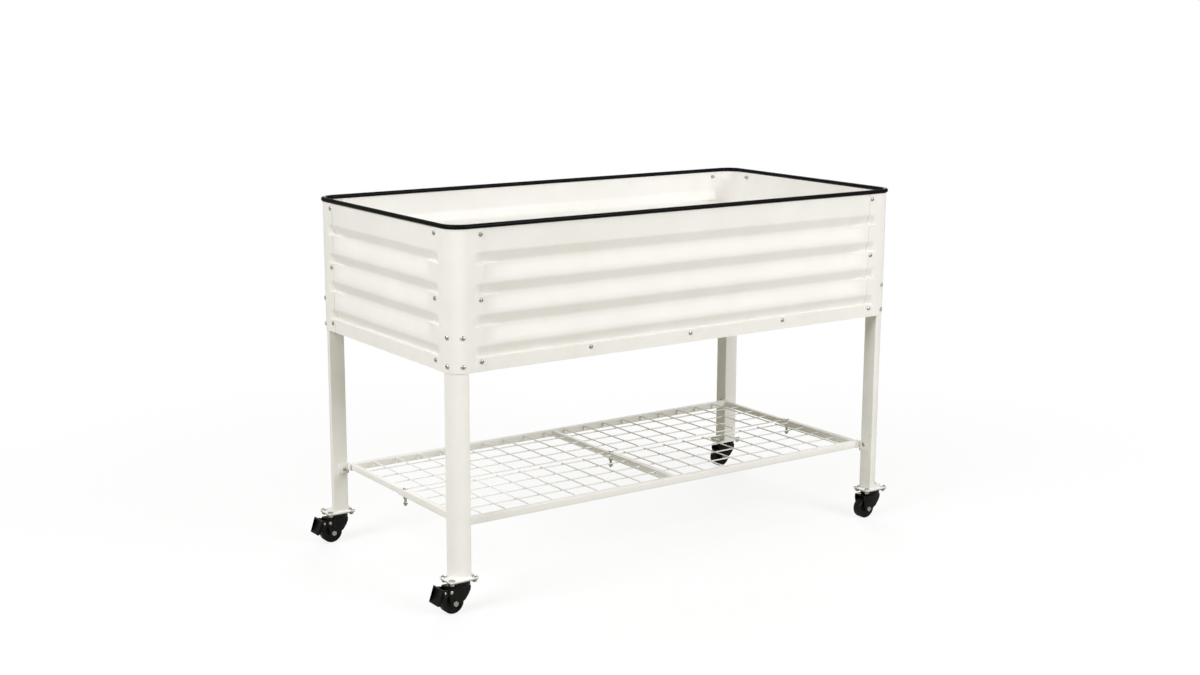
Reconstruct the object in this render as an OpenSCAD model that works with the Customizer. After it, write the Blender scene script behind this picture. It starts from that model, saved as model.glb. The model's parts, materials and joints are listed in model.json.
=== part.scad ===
// Rolling raised planter: a corrugated steel bed on four quarter-round legs, with a bolted
// wire shelf below it and four swivel casters, two of them with foot brakes.
// Millimetres, +Z up. The origin is on the floor, under the middle of the bed.
// Front is -Y and right is +X.

/* [Bed] */
// Outer length over the corner panels
bed_l = 1219; // [1000:1:1600]
// Outer width over the corner panels
bed_w = 610; // [500:1:800]
// Height of the wall sheets
wall_h = 300; // [290:1:400]
// Height of the wall sheets' lower edge above the floor
wall_z = 512; // [440:1:640]
// Thickness of the wall and floor sheets
sheet_t = 1; // [0.6:0.1:1.2]
// Gap between sheets that overlap
sheet_gap = 0.2; // [0.1:0.05:0.4]

/* [Corrugation] */
// Number of pressed grooves in each wall
groove_count = 4; // [2:1:4]
// Height of the lowest groove's centre above the wall's lower edge
groove_first = 44.5; // [44:0.5:52]
// Spacing of the grooves
groove_pitch = 64.5; // [60:0.5:70]
// Width of a groove where it meets the flat wall
groove_w = 30; // [20:0.5:30]
// Width of a groove's flat floor
groove_floor = 7; // [4:0.5:12]
// Depth of a groove
groove_d = 8; // [4:0.5:9]

/* [Corner panels] */
// Outside radius of the rounded corner
corner_r = 40; // [34:1:50]
// Reach of a corner panel along each wall, from the corner
corner_reach = 75.5; // [72:0.5:100]
// Distance from the corner to the rounded end of the grooves
corner_plain = 52; // [50:0.5:60]
// How far a wall sheet runs under the corner panel
wall_lap = 14; // [12:0.5:16]

/* [Floor of the bed] */
// Height of the floor's top above the walls' lower edge
floor_rise = 28; // [24:0.5:28.5]
// Depth of the floor panels' turned-down edge
floor_flange = 22; // [18:0.5:24]
// Gap between the two floor panels
floor_joint = 0.6; // [0.4:0.1:1]
// Gap between a leg and the floor panel's notch
leg_notch_gap = 0.8; // [0.5:0.1:2]
// Diameter of a drain hole
drain_d = 8; // [5:0.5:12]
// Drain holes along each floor panel
drain_cols = 4; // [2:1:6]
// Drain holes across each floor panel
drain_rows = 3; // [2:1:5]
// Distance of the outer drain holes from the panel's edges
drain_inset = 90; // [60:1:110]
// Width of a cross support
support_w = 30; // [24:1:40]
// Height of a cross support
support_h = 19; // [18:0.5:24]
// Sheet thickness of a cross support
support_t = 1.5; // [1:0.1:2]
// Distance of the outer supports from the middle one
support_pitch = 269; // [200:1:300]

/* [Rim trim] */
// Diameter of the rubber edge trim
trim_d = 10; // [9:0.5:14]
// Height of the trim's centre above the walls' upper edge
trim_lift = 1; // [0:0.5:2]
// Clearance between the trim's slot and the sheets
trim_gap = 0.2; // [0.1:0.1:0.4]

/* [Legs] */
// Gap between a leg and its corner panel
leg_gap = 0.5; // [0.3:0.1:2]
// Wall of the leg tube
leg_wall = 1.5; // [1.2:0.1:2.5]
// How far a leg reaches up inside the bed
leg_inside = 98; // [90:1:120]
// Length of the foot plate
foot_l = 70; // [66:1:80]
// Width of the foot plate
foot_w = 50; // [48:1:60]
// Thickness of the foot plate
foot_t = 2.5; // [2:0.5:4]
// Corner radius of the foot and caster plates
plate_r = 4; // [2:0.5:6]

/* [Wall fasteners] */
// Shank diameter of the wall, leg and shelf-corner screws
screw_d = 5; // [4:0.5:5]
// Diameter of a hole for these screws
screw_hole_d = 5.4; // [5.3:0.1:6]
// Head diameter of a wall or leg screw
screw_head_d = 9.5; // [9:0.5:11]
// Head height of a wall or leg screw
screw_head_h = 3; // [2:0.5:4]
// Length of a wall screw under its head
screw_l = 12; // [11:0.5:16]
// Length of a leg screw under its head
leg_screw_l = 9; // [8:0.5:12]
// Width of the nuts of these screws, across the corners
nut_w = 9.2; // [8.5:0.1:9.4]
// Height of these nuts
nut_h = 4; // [3:0.5:4]
// Distance of a screw column from the corner panel's edge
column_edge = 7; // [5.5:0.5:8]
// Distance of the upper screws from the walls' upper edge
screw_top = 16; // [14:0.5:20]
// Height of the middle screws above the middle of the plain strip they sit on
screw_middle = 8.5; // [0:0.5:9]
// Distance of the lower screws below the bed's floor
screw_drop = 7; // [7:0.5:10]
// Angle between a leg screw and the corner's diagonal
leg_screw_angle = 24.5; // [18:0.5:28]
// Height of the lower leg screws above the walls' lower edge
leg_screw_low = 14; // [12:0.5:18]
// Height of the upper leg screws above the walls' lower edge
leg_screw_high = 74; // [60:1:80]
// Diameter of a weld nut inside a leg
weld_nut_d = 9; // [8.5:0.1:9.4]
// Height of a weld nut
weld_nut_h = 3.5; // [3:0.5:4]
// Clearance between a nut's thread and its screw
thread_gap = 0.05; // [0.02:0.01:0.1]

/* [Shelf] */
// Height of the shelf's top above the floor
shelf_z = 190; // [150:1:320]
// Width of a shelf tube
tube_w = 15; // [14:0.5:20]
// Height of a shelf tube
tube_h = 16; // [14:0.5:20]
// Wall of a shelf tube
tube_wall = 1.2; // [1:0.1:1.5]
// Clearance between the inner and outer tubes of a joint
tube_gap = 0.3; // [0.2:0.1:0.5]
// Length of the inner tube that slides into the outer one
tube_lap = 40; // [30:1:60]
// Wire diameter of the shelf mesh
wire_d = 3; // [2.5:0.1:4]
// Number of lengthwise wires in each half of the shelf
wire_rows = 4; // [3:1:5]
// Spacing of the crosswise wires
wire_pitch = 60; // [50:1:80]
// Distance of the first lengthwise wire from the joint between the halves
mesh_joint = 15; // [12:1:25]
// How far a crosswise wire runs past the first lengthwise one
wire_overhang = 3; // [0:0.5:6]
// Height of an ear plate
ear_h = 24; // [20:0.5:30]
// Thickness of an ear plate
ear_t = 2; // [1.5:0.1:3]
// Length of an ear plate on the leg
ear_reach = 25; // [20:0.5:27]
// Length of an ear plate on the shelf tube
ear_seat = 14; // [10:1:50]
// Distance of the screw in a side ear from the leg's inner edge
ear_screw_side = 13; // [9:0.5:13.5]
// Distance of the screw in a long ear from the leg's inner edge
ear_screw_long = 9; // [8.5:0.5:11]
// Height of the side ears' screws above the ear's lower edge
ear_screw_high = 18; // [17.5:0.5:18.5]
// Height of the long ears' screws above the ear's lower edge
ear_screw_low = 11.5; // [6:0.5:12]
// Length of a shelf-corner screw under its head
ear_screw_l = 12; // [10:0.5:13]
// Diameter of a bolt in the shelf's middle joint
joint_bolt_d = 6; // [5:0.5:6]
// Length of a bolt in the shelf's middle joint
joint_bolt_l = 38; // [30:1:45]
// Head diameter of a bolt in the shelf's middle joint
joint_head_d = 10.5; // [9:0.5:13]
// Head height of a bolt in the shelf's middle joint
joint_head_h = 3; // [2.5:0.5:4]
// How far a joint bolt's end stands out of its second nut
joint_past = 3.5; // [2:0.5:5]

/* [Caster plates] */
// Height of a caster, from the floor to its plate's top
caster_h = 72; // [64:0.5:80]
// Length of the caster plate
plate_l = 68; // [64:1:70]
// Width of the caster plate
plate_w = 48; // [46:1:50]
// Thickness of the caster plate
plate_t = 2.5; // [2:0.5:3]
// Spacing of the caster bolts along the plate
bolt_x = 54; // [52:0.5:56]
// Spacing of the caster bolts across the plate
bolt_y = 34; // [32:0.5:36]
// Diameter of a caster bolt
bolt_d = 6; // [5:0.5:6]
// Diameter of a hole for a caster bolt
bolt_hole_d = 6.5; // [6.4:0.1:7]
// Head diameter of a caster bolt
bolt_head_d = 13; // [11:0.5:13]
// Head height of a caster bolt
bolt_head_h = 3.5; // [3:0.5:5]
// Length of a caster bolt under its head
bolt_l = 11.5; // [11:0.5:12]
// Width of the caster bolts' and joint bolts' nuts, across the corners
bolt_nut_w = 11.2; // [10.5:0.1:11.5]
// Height of the caster bolts' and joint bolts' nuts
bolt_nut_h = 5; // [4:0.5:5]

/* [Swivel] */
// Diameter of the king pin
king_d = 10; // [8:0.5:12]
// Radial running clearance of the king pin and the axle sleeve
run_gap = 0.06; // [0.02:0.01:0.1]
// Diameter of the king pin's lower head
king_head_d = 16; // [14:0.5:18]
// Height of the king pin's lower head
king_head_h = 2.2; // [1.5:0.1:3]
// Gap between the king pin's head and the crown
king_head_gap = 0.3; // [0.2:0.1:0.6]
// Outside diameter of the fork's round crown
crown_d = 46; // [44:1:48]
// Thickness of the fork's pressed steel
fork_t = 2; // [1.5:0.1:2.2]
// Height of the race ring under the caster plate
race_h = 7.3; // [7:0.1:8]
// Gap between the crown's skirt and the caster plate
skirt_gap = 1.5; // [1:0.5:3]
// Diameter of a ball in the swivel bearing
ball_d = 4.4; // [4:0.1:4.6]
// Number of balls in the swivel bearing
ball_count = 12; // [8:1:16]
// Diameter of the circle of balls
ball_circle_d = 30; // [28:0.5:32]
// Clearance round a ball in its races
ball_gap = 0.1; // [0.05:0.01:0.15]
// How deep the balls sit in each race
ball_seat = 0.6; // [0.4:0.1:0.8]
// Width of the race ring's rim beside the balls
race_rim = 2; // [1.5:0.1:2.2]

/* [Wheel and fork] */
// Gap between a wheel's tread and the king pin's head above it
wheel_gap = 4.5; // [3:0.5:8]
// Width of a wheel's tread
wheel_w = 22; // [18:0.5:22]
// Distance of the axle behind the swivel's axis
trail = 20; // [18:0.5:22]
// Distance between the fork's cheeks
fork_inside = 30; // [30:0.5:34]
// Side gap between a wheel's hub and each cheek
hub_side_gap = 0.3; // [0.2:0.1:0.5]
// Diameter of a wheel's hub
hub_d = 18; // [15:0.5:20]
// Diameter of the axle sleeve
sleeve_d = 9; // [8.5:0.5:10]
// Diameter of the axle bolt
axle_d = 6; // [5:0.5:6]
// Width of the axle bolt's hexagonal head, across the corners
axle_head_w = 12.5; // [11:0.5:13]
// Height of the axle bolt's head
axle_head_h = 4.5; // [3:0.5:6]
// Radius of the fork's cheek around the axle
cheek_r = 10; // [8.5:0.5:12]
// Reach of the fork's cheeks behind the swivel's axis
cheek_back = 35; // [33:0.5:36]
// Reach of the fork's cheeks in front of the swivel's axis
cheek_front = 18.5; // [17:0.5:21]

/* [Foot brake] */
// Travel of the brake pedal
brake_travel = 12; // [8:1:12]
// Distance of the pedal's pivot behind the swivel's axis
pivot_back = 28; // [27:0.5:29]
// Distance of the pedal's pivot below the top of the fork's crown
pivot_drop = 9; // [8:0.5:9.5]
// Diameter of a pivot rivet
rivet_d = 5; // [4:0.5:5]
// Head diameter of a rivet
rivet_head_d = 7.5; // [7:0.5:9]
// Head height of a rivet
rivet_head_h = 1.5; // [1:0.1:2]
// Distance of the pad's cross pin behind the swivel's axis
pin_back = 42; // [41.5:0.5:43]
// Diameter of the pad's cross pin
pin_d = 4; // [3:0.5:4]
// Head diameter of the pad's cross pin
pin_head_d = 6.5; // [6:0.5:6.5]
// Thickness of the pedal's arms
arm_t = 2.4; // [2:0.1:2.6]
// Side gap between an arm and the fork's cheek
arm_gap = 0.4; // [0.2:0.1:0.5]
// Width of the pedal's foot plate
pedal_w = 40; // [36:1:44]
// Thickness of the pedal's foot plate
pedal_t = 3; // [2.5:0.1:3.5]
// Reach of the pedal's lower lip behind the swivel's axis
pedal_back = 63; // [60:0.5:64]
// Height of the pedal's upper edge above the top of the fork's crown
pedal_rise = 2; // [1:0.5:2.5]
// Height of the pedal's foot plate
pedal_h = 36; // [33:0.5:38]
// Depth of the curve in the pedal's foot plate
pedal_curve = 14.5; // [13:0.5:15]
// Number of grip ribs on the pedal
rib_count = 4; // [2:1:5]
// Height of a grip rib
rib_h = 1; // [0.6:0.1:1.4]
// Gap between the brake pad and the tread when the brake is on
pad_gap = 0.3; // [0.2:0.1:0.6]

/* [Hidden] */

$fn = 64;
cut = 1;                                             // how far a cutting solid overshoots

cream = "#ebe7da";
zinc = "#a9abad";
black = "#1c1c1d";

// Bed
wall_top = wall_z + wall_h;
arc_x = bed_l / 2 - corner_r;                        // centre of a rounded corner, and a leg's inner edge
arc_y = bed_w / 2 - corner_r;
wing = corner_reach - corner_r;                      // straight part of a corner panel's wing
wall_out = sheet_t + sheet_gap;                      // depth of a wall sheet's face behind the corner panel's
wall_in = wall_out + sheet_t;                        // depth of a wall sheet's inner face
wall_start = corner_reach - wall_lap;                // distance of a wall sheet's end from the corner
groove_heights = [for (i = [0 : groove_count - 1]) groove_first + i * groove_pitch];
flank_steps = 5;                                     // straight facets in each flank of a groove
flank = (groove_w - groove_floor) / 2;
groove_end = corner_plain + groove_w / 2;            // centre of a groove's rounded end, from the corner
plain_strip = groove_first + 1.5 * groove_pitch;     // middle of the plain strip above the second groove

// Floor of the bed
floor_z = wall_z + floor_rise;
flange_out = wall_in + sheet_gap;                    // depth of the floor flange's outer face
flange_in = flange_out + sheet_t;
notch = corner_r + leg_notch_gap;                    // notch for a leg, from the corner
support_top = floor_z - sheet_t;
support_len = bed_w - 2 * (flange_in + sheet_gap);

// Legs
leg_r = corner_r - sheet_t - leg_gap;
foot_z = caster_h + foot_t;
leg_top = wall_z + leg_inside;
leg_len = leg_top - foot_z;
swivel_x = arc_x + leg_r / 2;                        // a foot plate and its caster sit under the leg
swivel_y = arc_y + leg_r / 2;

// Fasteners
support_row = floor_z - screw_drop;
wall_rows = [support_row, wall_z + plain_strip + screw_middle, wall_top - screw_top];
leg_rows = [wall_z + leg_screw_low, wall_z + leg_screw_high];
column_inset = corner_reach - column_edge;
column_x = bed_l / 2 - column_inset;
column_y = bed_w / 2 - column_inset;
support_places = [-support_pitch, 0, support_pitch];
nut_seat = wall_in;                                  // depth of a wall nut's face behind the corner panel's
flange_nut_seat = flange_in;                         // the same where the floor's flange lies between
support_nut_seat = flange_in + sheet_gap + support_t;
// A flat nut against the round inside of the leg stands off by the arc's rise
leg_inner_r = leg_r - leg_wall;
weld_nut_r = sqrt(pow(leg_inner_r, 2) - pow(weld_nut_d / 2, 2)) - 0.02;

// Shelf
shelf_x = arc_x - ear_t;                             // outer face of the shelf's end tubes
shelf_y = arc_y - ear_t;                             // outer face of the shelf's long tubes
shelf_bottom = shelf_z - tube_h;
ear_z = shelf_z - ear_h;
inner_tube_w = tube_w - 2 * (tube_wall + tube_gap);
inner_tube_h = tube_h - 2 * (tube_wall + tube_gap);
stub_places = [-(shelf_x - tube_w / 2), 0, shelf_x - tube_w / 2];
wire_r = wire_d / 2;
wire_bite = 0.3;                                     // how far crossing wires melt into each other
cross_wire_z = shelf_z - wire_r;
long_wire_z = cross_wire_z - wire_d + wire_bite;
mesh_y = shelf_y - tube_w;                           // where the mesh meets the long tube
row_pitch = (mesh_y - mesh_joint) / wire_rows;
row_places = [for (i = [0 : wire_rows - 1]) mesh_joint + i * row_pitch];
half_wires = floor((shelf_x - tube_w - wire_d) / wire_pitch - 0.5);
wire_places = [for (i = [0 : half_wires], s = [-1, 1]) s * (i + 0.5) * wire_pitch];

// Casters: everything here is measured from the swivel's axis and the floor
plate_bottom = caster_h - plate_t;
race_z = plate_bottom - race_h;                      // lower face of the race ring
ball_z = race_z - ball_d / 2 + ball_seat;
crown_z = ball_z - ball_d / 2 + ball_seat;           // top of the fork's crown
race_outer_d = ball_circle_d + ball_d + 2 * race_rim;
race_inner_d = ball_circle_d - ball_d - 2 * race_rim;
king_head_z = crown_z - fork_t - king_head_gap;      // top of the king pin's lower head
wheel_r = (king_head_z - king_head_h - wheel_gap) / 2;
hub_w = fork_inside - 2 * hub_side_gap;
fork_outside = fork_inside + 2 * fork_t;
cheek_y = fork_inside / 2;
brake_arm_y = cheek_y - arm_gap - arm_t;             // inner face of a brake arm
rivet_hole_d = rivet_d + 2 * run_gap;
pivot_z = crown_z - pivot_drop;
pedal_top = crown_z + pedal_rise;
thread_past = 1.5;                                   // how far the axle bolt stands out of its nut
pad_angle = 143;                                     // direction from the axle to the pad's tip, brake on
pad_reach = wheel_r + pad_gap;
// Where the pad's tip lies with the brake on, from the pivot, and the same with the brake off
tip_on = [
    pivot_back - trail + pad_reach * cos(pad_angle),
    wheel_r - pivot_z + pad_reach * sin(pad_angle)
];
tip_off = [
    tip_on[0] * cos(brake_travel) + tip_on[1] * sin(brake_travel),
    tip_on[1] * cos(brake_travel) - tip_on[0] * sin(brake_travel)
];
pad_tip = [tip_off[0] - pivot_back, tip_off[1] + pivot_z];

// ---------------------------------------------------------------- helpers

// Depth of a groove at a height u from its centre, as a half cosine down each flank
function groove_depth(u) =
    abs(u) <= groove_floor / 2 ? groove_d
    : abs(u) >= groove_w / 2 ? 0
    : groove_d * (1 + cos(180 * (abs(u) - groove_floor / 2) / flank)) / 2;

// Heights, from a groove's centre, of the points that draw one flank from its floor to the wall
function flank_heights() = [for (i = [0 : flank_steps]) groove_floor / 2 + flank * i / flank_steps];

// Points of one groove from its lower to its upper edge, as [depth, height]
function groove_points(centre) = concat(
    [for (i = [flank_steps : -1 : 0]) [groove_depth(flank_heights()[i]), centre - flank_heights()[i]]],
    [for (u = flank_heights()) [groove_depth(u), centre + u]]
);

// One face of a corrugated sheet, as [depth, height] from its lower to its upper edge
function face_points() = concat(
    [[0, 0]],
    [for (centre = groove_heights, p = groove_points(centre)) p],
    [[0, wall_h]]
);

function reversed(list) = [for (i = [len(list) - 1 : -1 : 0]) list[i]];

// Turns +X to face out of a wall: 0 is the right wall, 90 the back, 180 the left and 270 the front
module face_out(turn) {
    rotate([0, 0, turn]) children();
}

// Repeats children at a corner that is drawn at the back right
module at_corner(side_x, side_y) {
    mirror([side_x < 0 ? 1 : 0, 0, 0]) mirror([0, side_y < 0 ? 1 : 0, 0]) children();
}

module at_each_corner() {
    for (side_x = [-1, 1], side_y = [-1, 1]) at_corner(side_x, side_y) children();
}

module rounded_plate(length, width, height, radius) {
    linear_extrude(height) {
        square([length - 2 * radius, width], center = true);
        square([length, width - 2 * radius], center = true);
        for (x = [-1, 1], y = [-1, 1])
            translate([x * (length / 2 - radius), y * (width / 2 - radius)]) circle(radius);
    }
}

// A box tube along X, standing on its lower face, with open ends
module box_tube(length, width, height, wall) {
    difference() {
        translate([0, -width / 2, 0]) cube([length, width, height]);
        translate([-cut, wall - width / 2, wall])
            cube([length + 2 * cut, width - 2 * wall, height - 2 * wall]);
    }
}

// A round-headed screw whose head's underside is at z = 0 and whose head points up
module screw(shank_d, shank_l, head_d, head_h) {
    dome_steps = 4;
    rim = head_h * 0.4;
    rotate_extrude($fn = 32)
        polygon(concat(
            [[0, -shank_l], [shank_d / 2, -shank_l], [shank_d / 2, 0], [head_d / 2, 0]],
            [for (i = [0 : dome_steps])
                [head_d / 2 * cos(90 * i / dome_steps), rim + (head_h - rim) * sin(90 * i / dome_steps)]]
        ));
}

// A hexagonal nut that hangs down from z = 0
module hex_nut(width, height, thread_d) {
    difference() {
        translate([0, 0, -height]) cylinder(h = height, d = width, $fn = 6);
        translate([0, 0, -height - cut]) cylinder(h = height + 2 * cut, d = thread_d + 2 * thread_gap);
    }
}

// ---------------------------------------------------------------- bed

// The solid of one groove near a corner: it runs past the wing's end and starts round.
// It faces +Y, with its mouth in the plane y = 0, its deepest part at y = -groove_d, and a collar
// of the given height above the mouth.
module groove_tool(collar) {
    run = corner_reach - groove_end + cut;
    half = concat([[0, groove_d]],
        [for (u = flank_heights()) [u, groove_depth(u)]],
        [[groove_w / 2, -collar], [0, -collar]]);
    section = concat([[collar, -groove_w / 2]],
        [for (p = groove_points(0)) [-p[0], p[1]]],
        [[collar, groove_w / 2]]);
    translate([-run, 0, 0]) rotate([90, 0, 90]) linear_extrude(run) polygon(section);
    rotate([90, 0, 0]) rotate([0, 0, -90]) rotate_extrude(angle = 180, $fn = 48) polygon(half);
}

// The grooves of both wings, in the corner's own frame (origin at the arc's centre)
module corner_grooves(depth, collar) {
    for (height = groove_heights) {
        translate([corner_r - groove_end, corner_r - depth, wall_z + height]) groove_tool(collar);
        translate([corner_r - depth, corner_r - groove_end, wall_z + height])
            rotate([0, 0, -90]) rotate([0, 180, 0]) groove_tool(collar);
    }
}

// Plan of the corner out to a given depth behind its outer face
module corner_plan(depth, reach) {
    intersection() {
        circle(corner_r - depth, $fn = 96);
        square(corner_r);
    }
    translate([-reach, 0]) square([reach, corner_r - depth]);
    translate([0, -reach]) square([corner_r - depth, reach]);
}

module corner_shell() {
    translate([0, 0, wall_z]) linear_extrude(wall_h) difference() {
        corner_plan(0, wing);
        translate([-cut, -cut]) square(corner_r - sheet_t - corner_r / 2);
        corner_plan(sheet_t, wing + cut);
    }
}

// Screw holes through a corner: the two columns and the leg's four
module corner_holes() {
    for (z = wall_rows) {
        translate([column_x, bed_w / 2 + cut, z]) rotate([90, 0, 0]) cylinder(h = 20, d = screw_hole_d);
        translate([bed_l / 2 + cut, column_y, z]) rotate([0, -90, 0]) cylinder(h = 20, d = screw_hole_d);
    }
    at_leg_screws() translate([0, 0, -corner_r / 2]) cylinder(h = corner_r, d = screw_hole_d);
}

// Places children on a corner's arc, with +Z pointing out through the corner panel
module at_leg_screws() {
    for (z = leg_rows, side = [-1, 1])
        translate([arc_x, arc_y, z]) rotate([0, 0, 45 + side * leg_screw_angle])
            translate([corner_r, 0, 0]) rotate([0, 90, 0]) children();
}

module corner_panel(side_x, side_y) {
    color(cream) at_corner(side_x, side_y) difference() {
        translate([arc_x, arc_y, 0]) difference() {
            union() {
                corner_shell();
                intersection() {
                    corner_grooves(sheet_t, sheet_t / 2);
                    translate([-wing, -wing, wall_z]) cube([corner_reach, corner_reach, wall_h]);
                }
            }
            corner_grooves(0, cut);
        }
        corner_holes();
    }
}

// A corrugated wall sheet that faces +X, with its outer crests at x = 0
module wall_sheet(length) {
    outer = [for (p = face_points()) [-p[0], p[1]]];
    inner = [for (p = face_points()) [-p[0] - sheet_t, p[1]]];
    rotate([90, 0, 0]) linear_extrude(length, center = true) polygon(concat(outer, reversed(inner)));
}

// Screw holes through a wall sheet that faces +X, at the given places along it and heights
module wall_holes(places, rows) {
    for (y = places, z = rows)
        translate([-10, y, z]) rotate([0, 90, 0]) cylinder(h = 20, d = screw_hole_d);
}

module long_wall(turn) {
    color(cream) face_out(turn) translate([bed_w / 2 - wall_out, 0, 0]) difference() {
        translate([0, 0, wall_z]) wall_sheet(bed_l - 2 * wall_start);
        wall_holes([-column_x, column_x], wall_rows);
        wall_holes(support_places, [support_row]);
    }
}

module short_wall(turn) {
    color(cream) face_out(turn) translate([bed_l / 2 - wall_out, 0, 0]) difference() {
        translate([0, 0, wall_z]) wall_sheet(bed_w - 2 * wall_start);
        wall_holes([-column_y, column_y], wall_rows);
    }
}

// Half of the bed's floor: a sheet with three turned-down edges, notched round the legs.
// It is drawn on the right.
module floor_panel(side) {
    x0 = floor_joint / 2;
    x1 = bed_l / 2 - flange_out;
    y1 = bed_w / 2 - flange_out;
    notch_x = bed_l / 2 - notch;
    notch_y = bed_w / 2 - notch;
    drain_x0 = x0 + drain_inset;
    drain_x1 = x1 - drain_inset;
    drain_y = y1 - drain_inset;
    color(cream) mirror([side < 0 ? 1 : 0, 0, 0]) difference() {
        union() {
            translate([x0, -y1, floor_z - sheet_t]) cube([x1 - x0, 2 * y1, sheet_t]);
            for (y = [-y1, y1 - sheet_t])
                translate([x0, y, floor_z - floor_flange]) cube([notch_x - x0, sheet_t, floor_flange]);
            translate([x1 - sheet_t, -notch_y, floor_z - floor_flange])
                cube([sheet_t, 2 * notch_y, floor_flange]);
        }
        for (y = [-y1 - cut, notch_y])
            translate([notch_x, y, floor_z - floor_flange - cut])
                cube([corner_r + notch, notch, floor_flange + 2 * cut]);
        for (i = [0 : drain_cols - 1], j = [0 : drain_rows - 1])
            translate([
                drain_x0 + i * (drain_x1 - drain_x0) / (drain_cols - 1),
                -drain_y + j * 2 * drain_y / (drain_rows - 1),
                floor_z - sheet_t - cut
            ]) cylinder(h = sheet_t + 2 * cut, d = drain_d);
        for (turn = [90, 270]) face_out(turn) translate([bed_w / 2 - flange_out, 0, 0])
            wall_holes(concat([-column_x, column_x], support_places), [support_row]);
        translate([bed_l / 2 - flange_out, 0, 0]) wall_holes([-column_y, column_y], [support_row]);
    }
}

// A channel that opens downwards and spans the bed under its floor, with a turned-down tab at each end
module cross_support(place) {
    color(cream) translate([place, 0, support_top - support_h]) difference() {
        translate([-support_w / 2, -support_len / 2, 0]) cube([support_w, support_len, support_h]);
        translate([-support_w / 2 + support_t, -support_len / 2 + support_t, -cut])
            cube([support_w - 2 * support_t, support_len - 2 * support_t, support_h - support_t + cut]);
        translate([0, 0, support_row - support_top + support_h]) rotate([90, 0, 0])
            cylinder(h = bed_w, d = screw_hole_d, center = true);
    }
}

// Section of the rubber trim: a round bead with a slot that grips the sheets' upper edge.
// X is the distance out from the middle of the sheets, Y the height from the bead's centre.
module trim_section() {
    slot_w = wall_in + 2 * trim_gap;
    difference() {
        circle(d = trim_d, $fn = 48);
        translate([-slot_w / 2, -trim_d]) square([slot_w, trim_d - trim_lift + trim_gap]);
    }
}

module rim_trim() {
    middle = wall_in / 2;
    bend_r = corner_r - middle;
    color(black) translate([0, 0, wall_top + trim_lift]) {
        for (side = [0, 180]) rotate([0, 0, side]) {
            translate([0, bed_w / 2 - middle, 0]) rotate([90, 0, 90])
                linear_extrude(2 * arc_x, center = true) trim_section();
            translate([bed_l / 2 - middle, 0, 0]) rotate([90, 0, 0])
                linear_extrude(2 * arc_y, center = true) trim_section();
        }
        at_each_corner() translate([arc_x, arc_y, 0])
            rotate_extrude(angle = 90, $fn = 96) translate([bend_r, 0]) trim_section();
    }
}

// ---------------------------------------------------------------- legs

module leg_plan(radius, inset) {
    intersection() {
        circle(radius, $fn = 96);
        translate([inset, inset]) square(radius);
    }
}

module leg(side_x, side_y) {
    color(cream) at_corner(side_x, side_y) difference() {
        union() {
            translate([arc_x, arc_y, foot_z]) linear_extrude(leg_len) difference() {
                leg_plan(leg_r, 0);
                leg_plan(leg_r - leg_wall, leg_wall);
            }
            translate([swivel_x, swivel_y, caster_h]) rounded_plate(foot_l, foot_w, foot_t, plate_r);
        }
        at_leg_screws() translate([0, 0, -corner_r / 2]) cylinder(h = corner_r, d = screw_hole_d);
        at_ear_screws() translate([0, 0, -ear_t - leg_wall - cut])
            cylinder(h = leg_wall + 2 * cut, d = screw_hole_d);
        translate([swivel_x, swivel_y, caster_h]) plate_holes(foot_t);
    }
}

// The four bolt holes of a foot plate or caster plate that stands on z = 0
module plate_holes(height) {
    at_plate_bolts() translate([0, 0, -cut]) cylinder(h = height + 2 * cut, d = bolt_hole_d);
}

module at_plate_bolts() {
    for (x = [-bolt_x / 2, bolt_x / 2], y = [-bolt_y / 2, bolt_y / 2]) translate([x, y, 0]) children();
}

// ---------------------------------------------------------------- wall fasteners

// Places children on the outside of the back and right walls' fasteners, with +Z pointing out
module at_wall_screws() {
    at_each_corner() for (z = wall_rows) {
        translate([column_x, bed_w / 2, z]) rotate([-90, 0, 0]) children();
        translate([bed_l / 2, column_y, z]) rotate([0, 90, 0]) children();
    }
}

module at_support_screws() {
    for (place = support_places, side = [-1, 1])
        translate([place, side * (bed_w / 2 - wall_out), support_row])
            rotate([-90 * side, 0, 0]) children();
}

module wall_screws() {
    color(zinc) at_wall_screws() screw(screw_d, screw_l, screw_head_d, screw_head_h);
}

module wall_nuts() {
    color(zinc) at_each_corner() for (z = wall_rows) {
        seat = z == wall_rows[0] ? flange_nut_seat : nut_seat;
        translate([column_x, bed_w / 2 - seat, z]) rotate([-90, 0, 0]) hex_nut(nut_w, nut_h, screw_d);
        translate([bed_l / 2 - seat, column_y, z]) rotate([0, 90, 0]) hex_nut(nut_w, nut_h, screw_d);
    }
}

module leg_screws() {
    color(zinc) at_each_corner() at_leg_screws() screw(screw_d, leg_screw_l, screw_head_d, screw_head_h);
}

module support_screws() {
    color(zinc) at_support_screws() screw(screw_d, screw_l, screw_head_d, screw_head_h);
}

module support_nuts() {
    color(zinc) at_support_screws() translate([0, 0, wall_out - support_nut_seat])
        hex_nut(nut_w, nut_h, screw_d);
}

// Round nuts welded inside the legs, behind every leg screw and shelf-corner screw
module weld_nut() {
    difference() {
        translate([0, 0, -weld_nut_h]) cylinder(h = weld_nut_h, d = weld_nut_d, $fn = 32);
        translate([0, 0, -weld_nut_h - cut])
            cylinder(h = weld_nut_h + 2 * cut, d = screw_d + 2 * thread_gap);
    }
}

module leg_weld_nuts() {
    color(zinc) at_each_corner() {
        at_leg_screws() translate([0, 0, weld_nut_r - corner_r]) weld_nut();
        at_ear_screws() translate([0, 0, -ear_t - leg_wall]) weld_nut();
    }
}

// ---------------------------------------------------------------- shelf

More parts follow.
